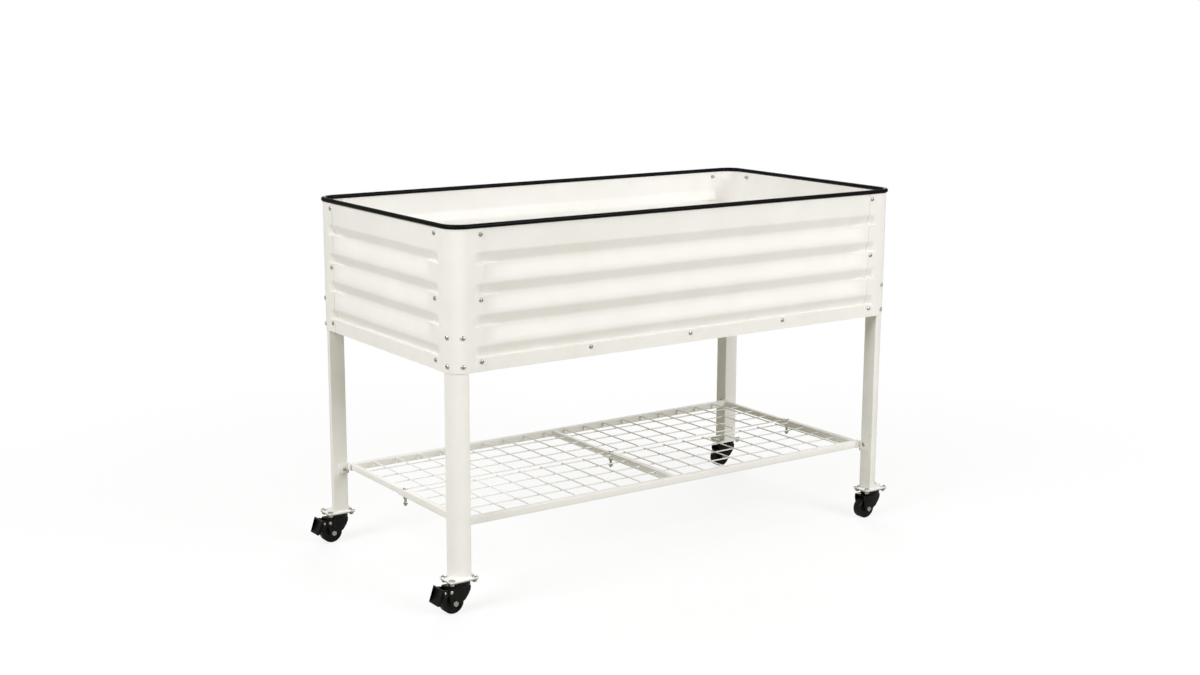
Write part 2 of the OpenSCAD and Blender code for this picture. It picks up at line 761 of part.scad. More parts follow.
// Places children on the shelf's ears at the back right leg, with +Z pointing out of the ear
module at_ear_screws() {
    translate([arc_x - ear_t, arc_y + ear_screw_side, ear_z + ear_screw_high])
        rotate([0, -90, 0]) children();
    translate([arc_x + ear_screw_long, arc_y - ear_t, ear_z + ear_screw_low])
        rotate([90, 0, 0]) children();
}

// The two ear plates of one shelf corner, which lie on the leg's flat inner faces. Along the shelf
// tube each is as low as the tube, and on the leg it reaches further down.
module ears() {
    translate([arc_x - ear_t, arc_y - ear_seat, shelf_bottom]) cube([ear_t, ear_seat, tube_h]);
    translate([arc_x - ear_t, arc_y - ear_t, ear_z]) cube([ear_t, ear_t + ear_reach, ear_h]);
    translate([arc_x - ear_seat, arc_y - ear_t, shelf_bottom]) cube([ear_seat, ear_t, tube_h]);
    translate([arc_x - ear_t, arc_y - ear_t, ear_z]) cube([ear_t + ear_reach, ear_t, ear_h]);
}

// A shelf half is drawn at the back, with its stubs pointing to the front
module shelf_half(stub_w, stub_h, stub_end) {
    difference() {
        union() {
            translate([-shelf_x, shelf_y - tube_w / 2, shelf_bottom])
                box_tube(2 * shelf_x, tube_w, tube_h, tube_wall);
            for (x = stub_places)
                translate([x, stub_end, shelf_bottom + (tube_h - stub_h) / 2]) rotate([0, 0, 90])
                    box_tube(mesh_y - stub_end + tube_wall / 2, stub_w, stub_h, tube_wall);
            for (side = [-1, 1]) at_corner(side, 1) ears();
        }
        for (side = [-1, 1]) at_corner(side, 1) at_ear_screws()
            translate([0, 0, -ear_t - cut]) cylinder(h = ear_t + 2 * cut, d = screw_hole_d);
        for (x = stub_places)
            translate([x, 0, shelf_bottom - cut]) cylinder(h = tube_h + 2 * cut, d = bolt_hole_d);
    }
}

module shelf_front_frame() {
    color(cream) mirror([0, 1, 0]) shelf_half(tube_w, tube_h, -tube_lap / 2);
}

module shelf_back_frame() {
    color(cream) shelf_half(inner_tube_w, inner_tube_h, -tube_lap / 2);
}

module wire(length) {
    cylinder(h = length, r = wire_r, $fn = 16);
}

// Half of the mesh, at the back: crosswires bent down at the long tube, over lengthwise wires.
// stub_w is the width of the half's own stubs, which its lengthwise wires are welded to; near the
// joint both halves meet the outer stubs.
module shelf_mesh_half(stub_w) {
    cross_start = mesh_joint - wire_overhang;
    for (x = wire_places) {
        translate([x, cross_start, cross_wire_z]) rotate([-90, 0, 0]) wire(mesh_y - wire_r - cross_start);
        translate([x, mesh_y - wire_r, shelf_bottom + wire_r]) wire(cross_wire_z - shelf_bottom - wire_r);
        translate([x, mesh_y - wire_r, cross_wire_z]) sphere(wire_r, $fn = 16);
    }
    for (y = row_places, side = [0, 1]) {
        met_w = y + wire_r < tube_lap / 2 ? tube_w : stub_w;
        bay = stub_places[2] - met_w;
        mirror([side, 0, 0]) translate([met_w / 2, y, long_wire_z]) rotate([0, 90, 0]) wire(bay);
    }
}

module shelf_front_mesh() {
    color(cream) mirror([0, 1, 0]) shelf_mesh_half(tube_w);
}

module shelf_back_mesh() {
    color(cream) shelf_mesh_half(inner_tube_w);
}

module shelf_joint_bolts() {
    color(zinc) for (x = stub_places) translate([x, 0, shelf_z])
        screw(joint_bolt_d, joint_bolt_l, joint_head_d, joint_head_h);
}

// Two nuts on each joint bolt: one clamps the tubes, the other is run onto the bolt's end
module shelf_joint_nuts() {
    color(zinc) for (x = stub_places, top = [shelf_bottom, shelf_z - joint_bolt_l + joint_past + bolt_nut_h])
        translate([x, 0, top]) hex_nut(bolt_nut_w, bolt_nut_h, joint_bolt_d);
}

module shelf_corner_screws() {
    color(zinc) at_each_corner() at_ear_screws() screw(screw_d, ear_screw_l, screw_head_d, screw_head_h);
}

// ---------------------------------------------------------------- casters

module at_caster(side_x, side_y) {
    translate([side_x * swivel_x, side_y * swivel_y, 0]) children();
}

module at_each_caster() {
    for (side_x = [-1, 1], side_y = [-1, 1]) at_caster(side_x, side_y) children();
}

// The fixed half of a caster: the plate, the upper ball race and the riveted king pin
module caster_plate(side_x, side_y) {
    color(zinc) at_caster(side_x, side_y) {
        difference() {
            union() {
                translate([0, 0, plate_bottom]) rounded_plate(plate_l, plate_w, plate_t, plate_r);
                translate([0, 0, race_z]) difference() {
                    cylinder(h = plate_bottom - race_z + plate_t / 2, d = race_outer_d);
                    translate([0, 0, -cut])
                        cylinder(h = plate_bottom - race_z + cut, d = race_inner_d);
                }
            }
            translate([0, 0, plate_bottom]) plate_holes(plate_t);
            ball_groove();
        }
        translate([0, 0, king_head_z]) cylinder(h = plate_bottom - king_head_z + plate_t / 2, d = king_d);
        translate([0, 0, king_head_z - king_head_h]) cylinder(h = king_head_h, d = king_head_d);
    }
}

module caster_bolts() {
    color(zinc) at_each_caster() translate([0, 0, foot_z]) at_plate_bolts()
        screw(bolt_d, bolt_l, bolt_head_d, bolt_head_h);
}

module caster_nuts() {
    color(zinc) at_each_caster() translate([0, 0, plate_bottom]) at_plate_bolts()
        hex_nut(bolt_nut_w, bolt_nut_h, bolt_d);
}

// The round track that the balls run in, cut into the crown and into the race ring
module ball_groove() {
    translate([0, 0, ball_z]) rotate_extrude()
        translate([ball_circle_d / 2, 0]) circle(ball_d / 2 + ball_gap, $fn = 32);
}

module ball_race(side_x, side_y) {
    color(zinc) at_caster(side_x, side_y)
        for (i = [0 : ball_count - 1]) rotate([0, 0, i * 360 / ball_count])
            translate([ball_circle_d / 2, 0, ball_z]) sphere(d = ball_d, $fn = 24);
}

// Side outline of a fork cheek, as X behind the swivel's axis and Z above the floor
module cheek_plan() {
    shoulder_z = crown_z - 11;
    polygon([
        [-cheek_back + 1, crown_z],
        [-cheek_back, shoulder_z + 3],
        [-cheek_back + 2, wheel_r + 16],
        [-trail - cheek_r * cos(15), wheel_r - cheek_r * sin(15)],
        [-trail, wheel_r],
        [-trail + cheek_r * cos(30), wheel_r - cheek_r * sin(30)],
        [cheek_front - 13, wheel_r + 4.6],
        [cheek_front - 5.5, shoulder_z - 8],
        [cheek_front - 1, shoulder_z + 1],
        [cheek_front, crown_z],
    ]);
    translate([-trail, wheel_r]) circle(cheek_r);
}

module fork(side_x, side_y, braked) {
    color(black) at_caster(side_x, side_y) difference() {
        union() {
            translate([0, 0, crown_z - fork_t]) cylinder(h = fork_t, d = crown_d);
            translate([0, 0, crown_z - fork_t]) difference() {
                cylinder(h = plate_bottom - skirt_gap - crown_z + fork_t, d = crown_d);
                translate([0, 0, -cut])
                    cylinder(h = plate_bottom - crown_z + fork_t + cut, d = crown_d - 2 * fork_t);
            }
            translate([-cheek_back + 1, -fork_outside / 2, crown_z - fork_t])
                cube([cheek_back - 1, fork_outside, fork_t]);
            for (y = [-cheek_y, cheek_y + fork_t])
                translate([0, y, 0]) rotate([90, 0, 0]) linear_extrude(fork_t) cheek_plan();
        }
        translate([0, 0, crown_z - fork_t - cut]) cylinder(h = fork_t + 2 * cut, d = king_d + 2 * run_gap);
        ball_groove();
        translate([-trail, 0, wheel_r]) rotate([90, 0, 0])
            cylinder(h = 2 * fork_outside, d = axle_d + 2 * thread_gap, center = true);
        if (braked) translate([-pivot_back, 0, pivot_z]) rotate([90, 0, 0])
            cylinder(h = 2 * fork_outside, d = rivet_d + 2 * thread_gap, center = true);
    }
}

// The axle bolt, its nut and the steel sleeve that the wheel runs on
module axle(side_x, side_y) {
    color(zinc) at_caster(side_x, side_y)
        translate([-trail, -fork_outside / 2, wheel_r]) rotate([-90, 0, 0]) {
            translate([0, 0, -axle_head_h]) cylinder(h = axle_head_h, d = axle_head_w, $fn = 6);
            cylinder(h = fork_outside + bolt_nut_h + thread_past, d = axle_d);
            translate([0, 0, fork_outside + bolt_nut_h]) hex_nut(bolt_nut_w, bolt_nut_h, axle_d);
            translate([0, 0, fork_t]) difference() {
                cylinder(h = fork_inside, d = sleeve_d);
                translate([0, 0, -cut]) cylinder(h = fork_inside + 2 * cut, d = axle_d + 2 * thread_gap);
            }
        }
}

// A moulded wheel: a rounded tread, a thin web on each side and a hub that fills the fork
module wheel(side_x, side_y) {
    half = wheel_w / 2;
    shoulder = 3;
    rim_r = wheel_r - 6;
    web = half - 3;
    bore_r = sleeve_d / 2 + run_gap;
    color(black) at_caster(side_x, side_y) translate([-trail, 0, wheel_r]) rotate([90, 0, 0])
        rotate_extrude($fn = 72) polygon([
            [bore_r, -hub_w / 2], [hub_d / 2, -hub_w / 2], [hub_d / 2, -web],
            [rim_r, -web], [rim_r, -half + 0.6], [rim_r + 0.6, -half], [wheel_r - shoulder, -half],
            [wheel_r - 0.9, -half + 0.9], [wheel_r, -half + shoulder],
            [wheel_r, half - shoulder], [wheel_r - 0.9, half - 0.9],
            [wheel_r - shoulder, half], [rim_r + 0.6, half], [rim_r, half - 0.6], [rim_r, web],
            [hub_d / 2, web], [hub_d / 2, hub_w / 2], [bore_r, hub_w / 2],
        ]);
}

// ---------------------------------------------------------------- foot brakes

// Side outline of the pedal's foot plate, which curls out at its foot and a little at its top.
// Each point is a share of the curve's depth and of the plate's height below its top.
function pedal_face() = [
    for (p = [[0.76, 0], [0.965, 0.22], [1, 0.415], [0.76, 0.64], [0.345, 0.835], [0, 0.945]])
        [p[0] * pedal_curve - pedal_back, pedal_top - p[1] * pedal_h]
];

// X of the foot plate's face at a height
function pedal_face_x(z) = lookup(z, [for (p = reversed(pedal_face())) [p[1], p[0]]]);

module pedal_section() {
    face = pedal_face();
    back = [for (p = face) [p[0] + pedal_t, p[1] - pedal_t * 0.2]];
    polygon(concat(face, reversed(back)));
}

// Side outline of an arm, from the pivot back into the foot plate
module arm_plan() {
    arm_r = rivet_d;
    face = pedal_face();
    foot = face[4] + [pedal_t, 1];
    translate([-pivot_back, pivot_z]) circle(arm_r, $fn = 32);
    polygon([
        [-pivot_back, pivot_z + arm_r], face[0] + [pedal_t + 2, -2], face[0] + [pedal_t / 2, -2],
        for (i = [1 : 3]) face[i] + [pedal_t / 2, 0],
        foot, foot + [4, 0], [-pivot_back - 2, pivot_z - arm_r],
    ]);
}

module brake_pedal(side_x, side_y) {
    color(black) at_caster(side_x, side_y) difference() {
        union() {
            translate([0, pedal_w / 2, 0]) rotate([90, 0, 0]) linear_extrude(pedal_w) pedal_section();
            for (y = [-brake_arm_y, brake_arm_y + arm_t])
                translate([0, y, 0]) rotate([90, 0, 0]) linear_extrude(arm_t) arm_plan();
            translate([0, brake_arm_y, 0]) rotate([90, 0, 0]) linear_extrude(2 * brake_arm_y)
                polygon([
                    [pedal_curve - pedal_back, pedal_face()[1][1]], [pad_tip[0] + 2.5, pedal_face()[1][1]],
                    pad_tip, [pedal_curve - pedal_back, pad_tip[1] + 2],
                ]);
            for (i = [0 : rib_count - 1]) {
                z = pedal_top - (i + 0.25) * pedal_h / rib_count;
                translate([pedal_face_x(z), pedal_w / 2, z]) rotate([90, 0, 0])
                    cylinder(h = pedal_w, r = rib_h, $fn = 20);
            }
        }
        translate([-pivot_back, 0, pivot_z]) rotate([90, 0, 0])
            cylinder(h = pedal_w, d = rivet_hole_d, center = true);
        translate([-pin_back, 0, pivot_z]) rotate([90, 0, 0])
            cylinder(h = pedal_w, d = pin_d + 2 * thread_gap, center = true);
    }
}

// Two short rivets, one through each cheek and arm
module brake_rivets(side_x, side_y) {
    rivet_l = fork_t + arm_gap + arm_t;
    color(zinc) at_caster(side_x, side_y) translate([-pivot_back, 0, pivot_z])
        for (side = [-1, 1]) rotate([90 * side, 0, 0]) translate([0, 0, fork_outside / 2])
            screw(rivet_d, rivet_l, rivet_head_d, rivet_head_h);
}

// A steel pin through both arms and the brake pad, headed at both ends
module brake_pin(side_x, side_y) {
    reach = brake_arm_y + arm_t;
    color(zinc) at_caster(side_x, side_y) translate([-pin_back, 0, pivot_z])
        for (side = [-1, 1]) rotate([90 * side, 0, 0]) translate([0, 0, reach])
            screw(pin_d, reach + cut, pin_head_d, rivet_head_h);
}

// ---------------------------------------------------------------- nodes

corner_panel(-1, -1);  // corner_panel_front_left
corner_panel(1, -1);  // corner_panel_front_right
corner_panel(-1, 1);  // corner_panel_back_left
corner_panel(1, 1);  // corner_panel_back_right
long_wall(270);  // front_wall
long_wall(90);  // back_wall
short_wall(180);  // left_wall
short_wall(0);  // right_wall
floor_panel(-1);  // floor_panel_left
floor_panel(1);  // floor_panel_right
cross_support(-support_pitch);  // cross_support_left
cross_support(0);  // cross_support_middle
cross_support(support_pitch);  // cross_support_right
rim_trim();
leg(-1, -1);  // leg_front_left
leg(1, -1);  // leg_front_right
leg(-1, 1);  // leg_back_left
leg(1, 1);  // leg_back_right
wall_screws();
wall_nuts();
leg_screws();
leg_weld_nuts();
support_screws();
support_nuts();
shelf_front_frame();
shelf_back_frame();
shelf_front_mesh();
shelf_back_mesh();
shelf_joint_bolts();
shelf_joint_nuts();
shelf_corner_screws();
caster_plate(-1, -1);  // caster_plate_front_left
caster_plate(1, -1);  // caster_plate_front_right
caster_plate(-1, 1);  // caster_plate_back_left
caster_plate(1, 1);  // caster_plate_back_right
caster_bolts();
caster_nuts();
fork(-1, -1, true);  // fork_front_left
fork(1, -1, false);  // fork_front_right
fork(-1, 1, true);  // fork_back_left
fork(1, 1, false);  // fork_back_right
ball_race(-1, -1);  // ball_race_front_left
ball_race(1, -1);  // ball_race_front_right
ball_race(-1, 1);  // ball_race_back_left
ball_race(1, 1);  // ball_race_back_right
axle(-1, -1);  // axle_front_left
axle(1, -1);  // axle_front_right
axle(-1, 1);  // axle_back_left
axle(1, 1);  // axle_back_right
wheel(-1, -1);  // wheel_front_left
wheel(1, -1);  // wheel_front_right
wheel(-1, 1);  // wheel_back_left
wheel(1, 1);  // wheel_back_right
brake_pedal(-1, -1);  // brake_pedal_front_left
brake_pedal(-1, 1);  // brake_pedal_back_left
brake_rivets(-1, -1);  // brake_rivets_front_left
brake_rivets(-1, 1);  // brake_rivets_back_left
brake_pin(-1, -1);  // brake_pin_front_left
brake_pin(-1, 1);  // brake_pin_back_left
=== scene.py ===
import json
import math

import bmesh
import bpy
from mathutils import Matrix, Vector


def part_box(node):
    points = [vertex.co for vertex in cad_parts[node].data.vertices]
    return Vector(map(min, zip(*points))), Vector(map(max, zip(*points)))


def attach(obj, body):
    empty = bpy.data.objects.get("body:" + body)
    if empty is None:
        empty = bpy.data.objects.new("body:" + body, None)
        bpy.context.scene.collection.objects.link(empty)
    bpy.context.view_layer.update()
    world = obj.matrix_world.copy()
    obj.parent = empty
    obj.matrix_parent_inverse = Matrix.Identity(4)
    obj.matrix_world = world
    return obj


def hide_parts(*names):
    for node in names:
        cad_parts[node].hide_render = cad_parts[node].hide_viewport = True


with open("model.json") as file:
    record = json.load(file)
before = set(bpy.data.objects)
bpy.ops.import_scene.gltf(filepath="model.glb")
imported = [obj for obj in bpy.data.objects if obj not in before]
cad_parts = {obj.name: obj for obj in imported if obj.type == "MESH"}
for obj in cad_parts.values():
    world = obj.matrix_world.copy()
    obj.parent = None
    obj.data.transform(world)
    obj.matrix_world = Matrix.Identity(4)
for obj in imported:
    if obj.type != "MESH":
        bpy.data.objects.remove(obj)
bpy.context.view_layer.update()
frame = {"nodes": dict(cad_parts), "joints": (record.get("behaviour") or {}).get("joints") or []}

# ---------------- the bed's four straight walls
# Each wall is one sheet of galvanised steel, roll-formed in shallow waves and powder coated in
# warm white. A wave falls away inwards under its crest, and comes back out to the next one. By the
# screws and the bed's floor it steps out on a narrow ledge. The ends lie under the corner panels.

mm = 0.001
sheet_t = 1.0 * mm
groove_pitch = 64.5 * mm
groove_centres = [44.5 * mm + groove_pitch * i for i in range(4)]
groove_d = 9 * mm
groove_top = 12 * mm             # a groove's upper edge, from its middle line
groove_deepest = -15 * mm        # its deepest line
ledge = 0.9 * mm                 # height in which it steps back out above a screw or the floor
plain_run = 74 * mm              # from a corner to where the ledges begin to widen to waves
widening = 50 * mm

bed_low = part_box("corner_panel_front_left")[0]
bed_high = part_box("corner_panel_back_right")[1]
wall_h = bed_high.z - bed_low.z


def linear(code):
    """A colour as a shader wants it, from its sRGB hex code."""
    parts = [int(code[i:i + 2], 16) / 255 for i in (1, 3, 5)]
    return [c / 12.92 if c <= 0.04045 else ((c + 0.055) / 1.055) ** 2.4 for c in parts] + [1]


def add_node(tree, kind, settings=None, links=None, to=None):
    """One shader node, with its properties or inputs set, other nodes' outputs linked to it, and its
    first output linked on to a socket."""
    node = tree.nodes.new(kind)
    for name, value in (settings or {}).items():
        if isinstance(name, str) and hasattr(node, name):
            setattr(node, name, value)
        else:
            node.inputs[name].default_value = value
    for name, output in (links or {}).items():
        tree.links.new(output, node.inputs[name])
    if to:
        tree.links.new(node.outputs[0], to)
    return node


def new_surface(name, settings):
    """A material with one Principled shader, and its node tree."""
    material = bpy.data.materials.new(name)
    material.use_nodes = True
    tree = material.node_tree
    tree.nodes.clear()
    shader = add_node(tree, "ShaderNodeBsdfPrincipled", settings)
    add_node(tree, "ShaderNodeOutputMaterial", links={"Surface": shader.outputs[0]})
    return material, tree, shader


def powder_coat():
    """Polyester powder on steel, sprayed dry and baked: an even satin skin with a fine orange peel.
    The peel is about 1 mm across on the real sheet, and is drawn 3 mm across so that it shows."""
    material, tree, shader = new_surface("polyester_powder_coat", {
        "Base Color": linear("#EFEDE8"), "Roughness": 0.6, "IOR": 1.5, "Specular IOR Level": 0.2,
    })
    place = add_node(tree, "ShaderNodeTexCoord").outputs["Object"]
    # Thin sheet is never quite flat: it waves over a hand's width
    wave = add_node(tree, "ShaderNodeTexNoise", {"Scale": 1 / (160 * mm), "Detail": 1}, {"Vector": place})
    swell = add_node(tree, "ShaderNodeBump", {"Strength": 0.12, "Distance": 1.2 * mm},
                     {"Height": wave.outputs["Fac"]})
    peel = add_node(tree, "ShaderNodeTexNoise", {"Scale": 1 / (3 * mm), "Detail": 2}, {"Vector": place})
    add_node(tree, "ShaderNodeBump", {"Strength": 0.25, "Distance": 0.06 * mm},
             {"Height": peel.outputs["Fac"], "Normal": swell.outputs["Normal"]},
             to=shader.inputs["Normal"])
    # The coat is a little thinner in places, so its tone and gloss drift slightly
    cloud = add_node(tree, "ShaderNodeTexNoise", {"Scale": 1 / (90 * mm), "Detail": 3}, {"Vector": place})
    tone = add_node(tree, "ShaderNodeValToRGB", links={"Fac": cloud.outputs["Fac"]},
                    to=shader.inputs["Base Color"])
    dark, light = tone.color_ramp.elements
    dark.position, light.position = 0.3, 0.7
    dark.color, light.color = linear("#EDEBE6"), linear("#F2F0EC")
    add_node(tree, "ShaderNodeMapRange", {"To Min": 0.54, "To Max": 0.66},
             {"Value": cloud.outputs["Fac"]}, to=shader.inputs["Roughness"])
    return material


coat = powder_coat()


def make_piece(name, shape, material, body, nodes, crease=32, at=None):
    """A smooth-shaded mesh that stands for CAD nodes and rides on their body."""
    mesh = shape
    if isinstance(shape, tuple):
        mesh = bpy.data.meshes.new(name)
        mesh.from_pydata([tuple(p) for p in shape[0]], [], shape[1])
        mesh.polygons.foreach_set("use_smooth", [True] * len(mesh.polygons))
        mesh.set_sharp_from_angle(angle=math.radians(crease))
        mesh.materials.append(material)
    obj = bpy.data.objects.new(name, mesh)
    bpy.context.scene.collection.objects.link(obj)
    if at is not None:
        obj.location = at
    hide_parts(*nodes)
    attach(obj, body)
    return obj


def joined(shapes):
    """Several shapes, each its points and faces, as one."""
    points, faces = [], []
    for shape_points, shape_faces in shapes:
        start = len(points)
        points += list(shape_points)
        faces += [tuple(start + i for i in face) for face in shape_faces]
    return points, faces


def ramp(along, bend):
    """From 0 to 1 in a straight line whose two ends are bent to level over a share of its run."""
    along = min(max(along, 0), 1)
    if along > 0.5:
        return 1 - ramp(1 - along, bend)
    if along < bend:
        return along * along / (2 * bend * (1 - bend))
    return (along - bend / 2) / (1 - bend)


def groove_depth(height, rise):
    """How deep a groove is at a height above its middle line: its upper flank looks down, and its
    lower one looks up and comes back out over some height."""
    if not groove_deepest - rise < height < groove_top:
        return 0
    return groove_d * min(ramp((groove_top - height) / (groove_top - groove_deepest), 0.22),
                          ramp((height - groove_deepest + rise) / rise, 0.3))


def wall_depth(run, height):
    """Depth of the pressing at a distance from the bed's corner. Away from the corner the lower
    flanks widen until each reaches the groove below it."""
    stepped, waved = (max(groove_depth(height - centre, rise) for centre in groove_centres[1:])
                      for rise in (ledge, groove_pitch - groove_top + groove_deepest))
    lowest = groove_depth(height - groove_centres[0], ledge)
    return max(lowest, stepped + (waved - stepped) * ramp((run - plain_run) / widening, 0.3))


def sheet_heights():
    """Heights at which a wall is drawn: its edges, and lines that lie 1 mm apart down each groove,
    closer on its ledge and 3 mm apart below it."""
    down = [groove_top - i * mm for i in range(27)]
    step = [groove_deepest - ledge * i / 8 for i in range(9)]
    below = [groove_deepest - 3 * i * mm for i in range(1, 13)]
    lines = [centre + line for centre in groove_centres[1:] for line in down + step + below]
    lines += [groove_centres[0] + line for line in down + step]
    return [0, *sorted(lines), wall_h]


def pressed_sheet(columns, depth_at):
    """A sheet of steel drawn column by column. A column is its place on the outer face, the way in
    from there, and whatever depth_at needs to know with the height to give the pressing's depth."""
    heights = sheet_heights()
    rows = len(heights)
    points = []
    for thickness in (0, sheet_t):
        for place, inwards, where in columns:
            for height in heights:
                moved = place + inwards * (depth_at(where, height) + thickness)
                points.append((moved.x, moved.y, bed_low.z + height))
    inner = len(columns) * rows
    faces = []
    for i in range(len(columns) - 1):
        for j in range(rows - 1):
            a = i * rows + j
            quad = (a, a + rows, a + rows + 1, a + 1)
            faces.append(quad)
            faces.append(tuple(inner + k for k in reversed(quad)))
        for a, flip in ((i * rows, False), (i * rows + rows - 1, True)):
            edge = (a, inner + a, inner + a + rows, a + rows)
            faces.append(tuple(reversed(edge)) if flip else edge)
    for start, flip in ((0, True), ((len(columns) - 1) * rows, False)):
        for j in range(rows - 1):
            edge = (start + j, inner + start + j, inner + start + j + 1, start + j + 1)
            faces.append(tuple(reversed(edge)) if flip else edge)
    return points, faces


def straight_wall(node, inwards):
    """A wall, drawn on its outer face from one end to the other."""
    low, high = (corner.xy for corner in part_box(node))
    across = Vector((inwards.y, -inwards.x))
    reach = max(high - low) / 2
    line = (low + high) / 2 - inwards * abs((high - low).dot(inwards)) / 2
    half_bed = bed_high.x if inwards.y else bed_high.y
    outer = [reach] + [half_bed - plain_run - widening * i / 12 for i in range(13)]
    stations = [-s for s in outer] + [0] + outer[::-1]
    columns = [(line - across * s, inwards, half_bed - abs(s)) for s in stations]
    make_piece(node + "_sheet", pressed_sheet(columns, wall_depth), coat, "planter", [node])


straight_wall("front_wall", Vector((0, 1)))
straight_wall("back_wall", Vector((0, -1)))
straight_wall("left_wall", Vector((1, 0)))
straight_wall("right_wall", Vector((-1, 0)))

# ---------------- the bed's corner panels
# Four sheets bent round to a soft corner, coated like the walls and screwed over their ends. Their
# grooves nest in the walls' and run out before the bend.

corner_r = 40 * mm
corner_plain = 52 * mm           # plain steel from the corner to the end of a groove
groove_runout = 16 * mm
corner_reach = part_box("corner_panel_back_right")[1].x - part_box("corner_panel_back_right")[0].x
corners = {
    "front_left": (-1, -1), "front_right": (1, -1),
    "back_left": (-1, 1), "back_right": (1, 1),
}


def corner_depth(run, height):
    """Depth of the pressing at a distance from the corner along a wing: the grooves run out softly."""
    return wall_depth(run, height) * ramp((run - corner_plain) / groove_runout, 0.3)


def corner_columns(side_x, side_y):
    """Columns from one wing's end, round the bend, to the other wing's end."""
    runs = [corner_reach - (corner_reach - corner_plain) * i / 20 for i in range(21)] + [corner_r]
    arc = [math.radians(90 * i / 20) for i in range(1, 20)]
    ends = Vector((side_x * bed_high.x, side_y * bed_high.y))
    centre = Vector((ends.x - side_x * corner_r, ends.y - side_y * corner_r))
    columns = [(Vector((ends.x - side_x * run, ends.y)), Vector((0, -side_y)), run) for run in runs]
    for angle in arc:
        out = Vector((side_x * math.sin(angle), side_y * math.cos(angle)))
        columns.append((centre + out * corner_r, -out, 0))
    columns += [(Vector((ends.x, ends.y - side_y * run)), Vector((-side_x, 0)), run)
                for run in reversed(runs)]
    # The walls' faces look outwards only if the columns run the same way round on every corner
    return columns if side_x * side_y < 0 else columns[::-1]


for corner, sides in corners.items():
    panel = pressed_sheet(corner_columns(*sides), corner_depth)
    node = "corner_panel_" + corner
    make_piece(node + "_sheet", panel, coat, "planter", [node])

# ---------------- the floor and its supports
# Two folded sheets with drain holes lie on three folded channels. They are plain press-brake work
# in coated steel, so the CAD solids are right as they are and only take the finish.

for node in ("floor_panel_left", "floor_panel_right",
             "cross_support_left", "cross_support_middle", "cross_support_right"):
    frame["nodes"][node].material_slots[0].material = coat

# ---------------- the rubber edge trim
# An extruded black rubber bead with a slot, pushed down over the sheets' upper edge all the way
# round so that the cut steel is covered.

trim_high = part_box("rim_trim")[1]
trim_r = 5 * mm
trim_slot = 2.6 * mm
trim_slot_top = -0.8 * mm        # from the bead's middle
rows_on_bead = 40


def extruded_rubber():
    """Black EPDM rubber from a die: dull, with faint drag lines along it and a little bloom.
    The lines are hair-fine on the real bead, and are drawn 1 mm apart so that they show."""
    material, tree, shader = new_surface("extruded_epdm_rubber", {
        "Base Color": linear("#0D0D0E"), "Roughness": 0.35, "IOR": 1.5, "Specular IOR Level": 0.07,
    })
    place = add_node(tree, "ShaderNodeTexCoord").outputs["Object"]
    drawn = add_node(tree, "ShaderNodeMapping", {"Scale": (0.02, 0.02, 1)}, {"Vector": place})
    lines = add_node(tree, "ShaderNodeTexNoise", {"Scale": 1 / (1 * mm), "Detail": 3},
                     {"Vector": drawn.outputs["Vector"]})
    add_node(tree, "ShaderNodeBump", {"Strength": 0.3, "Distance": 0.08 * mm},
             {"Height": lines.outputs["Fac"]}, to=shader.inputs["Normal"])
    bloom = add_node(tree, "ShaderNodeTexNoise", {"Scale": 1 / (35 * mm), "Detail": 4}, {"Vector": place})
    add_node(tree, "ShaderNodeMapRange", {"To Min": 0.3, "To Max": 0.5},
             {"Value": bloom.outputs["Fac"]}, to=shader.inputs["Roughness"])
    return material


rubber = extruded_rubber()


def band(lower, upper, count):
    """Faces between two rings of points, each given by the number of its first point."""
    return [(lower + j, lower + k, upper + k, upper + j) for j, k in enumerate([*range(1, count), 0])]


def swept(section, frames, closed=False):
    """A closed section carried along frames, each its origin and the section's two directions."""
    count = len(section)
    points = [origin + across * a + up * b for origin, across, up in frames for a, b in section]
    faces = []
    stretches = len(frames) if closed else len(frames) - 1
    for i in range(stretches):
        faces += band(i * count, (i + 1) % len(frames) * count, count)
    if not closed:
        faces.append(tuple(reversed(range(count))))
        faces.append(tuple(range((len(frames) - 1) * count, len(frames) * count)))
    return points, faces


def trim_section():
    """The bead's outline, from one side of the slot's mouth round to the other and up the slot."""
    half = trim_slot / 2
    mouth = math.asin(half / trim_r)
    start = -math.pi / 2 + mouth
    sweep = 2 * math.pi - 2 * mouth
    bead = [(trim_r * math.cos(start + sweep * i / rows_on_bead),
             trim_r * math.sin(start + sweep * i / rows_on_bead)) for i in range(rows_on_bead + 1)]
    return bead + [(-half, trim_slot_top), (half, trim_slot_top)]


def trim_path():
    """Frames round the rim, with the section's first direction pointing out of the bed."""
    line = Vector((trim_high.x - trim_r, trim_high.y - trim_r))
    bend = corner_r - (bed_high.y - line.y)
    frames = []
    for quarter, (x, y) in enumerate(((1, 1), (-1, 1), (-1, -1), (1, -1))):
        centre = Vector((x * (line.x - bend), y * (line.y - bend), trim_high.z - trim_r))
        for i in range(17):
            angle = math.radians(90 * quarter + 90 * i / 16)
            out = Vector((math.cos(angle), math.sin(angle), 0))
            frames.append((centre + out * bend, out, Vector((0, 0, 1))))
    return frames


make_piece("rim_trim_bead", swept(trim_section(), trim_path(), closed=True), rubber,
           "planter", ["rim_trim"], crease=50)

# ---------------- the legs
# Each leg is a roll-formed steel tube with a quarter-round section, welded to a flat foot plate and
# coated with it. It stands in the rounded corner with its two flat faces inwards.

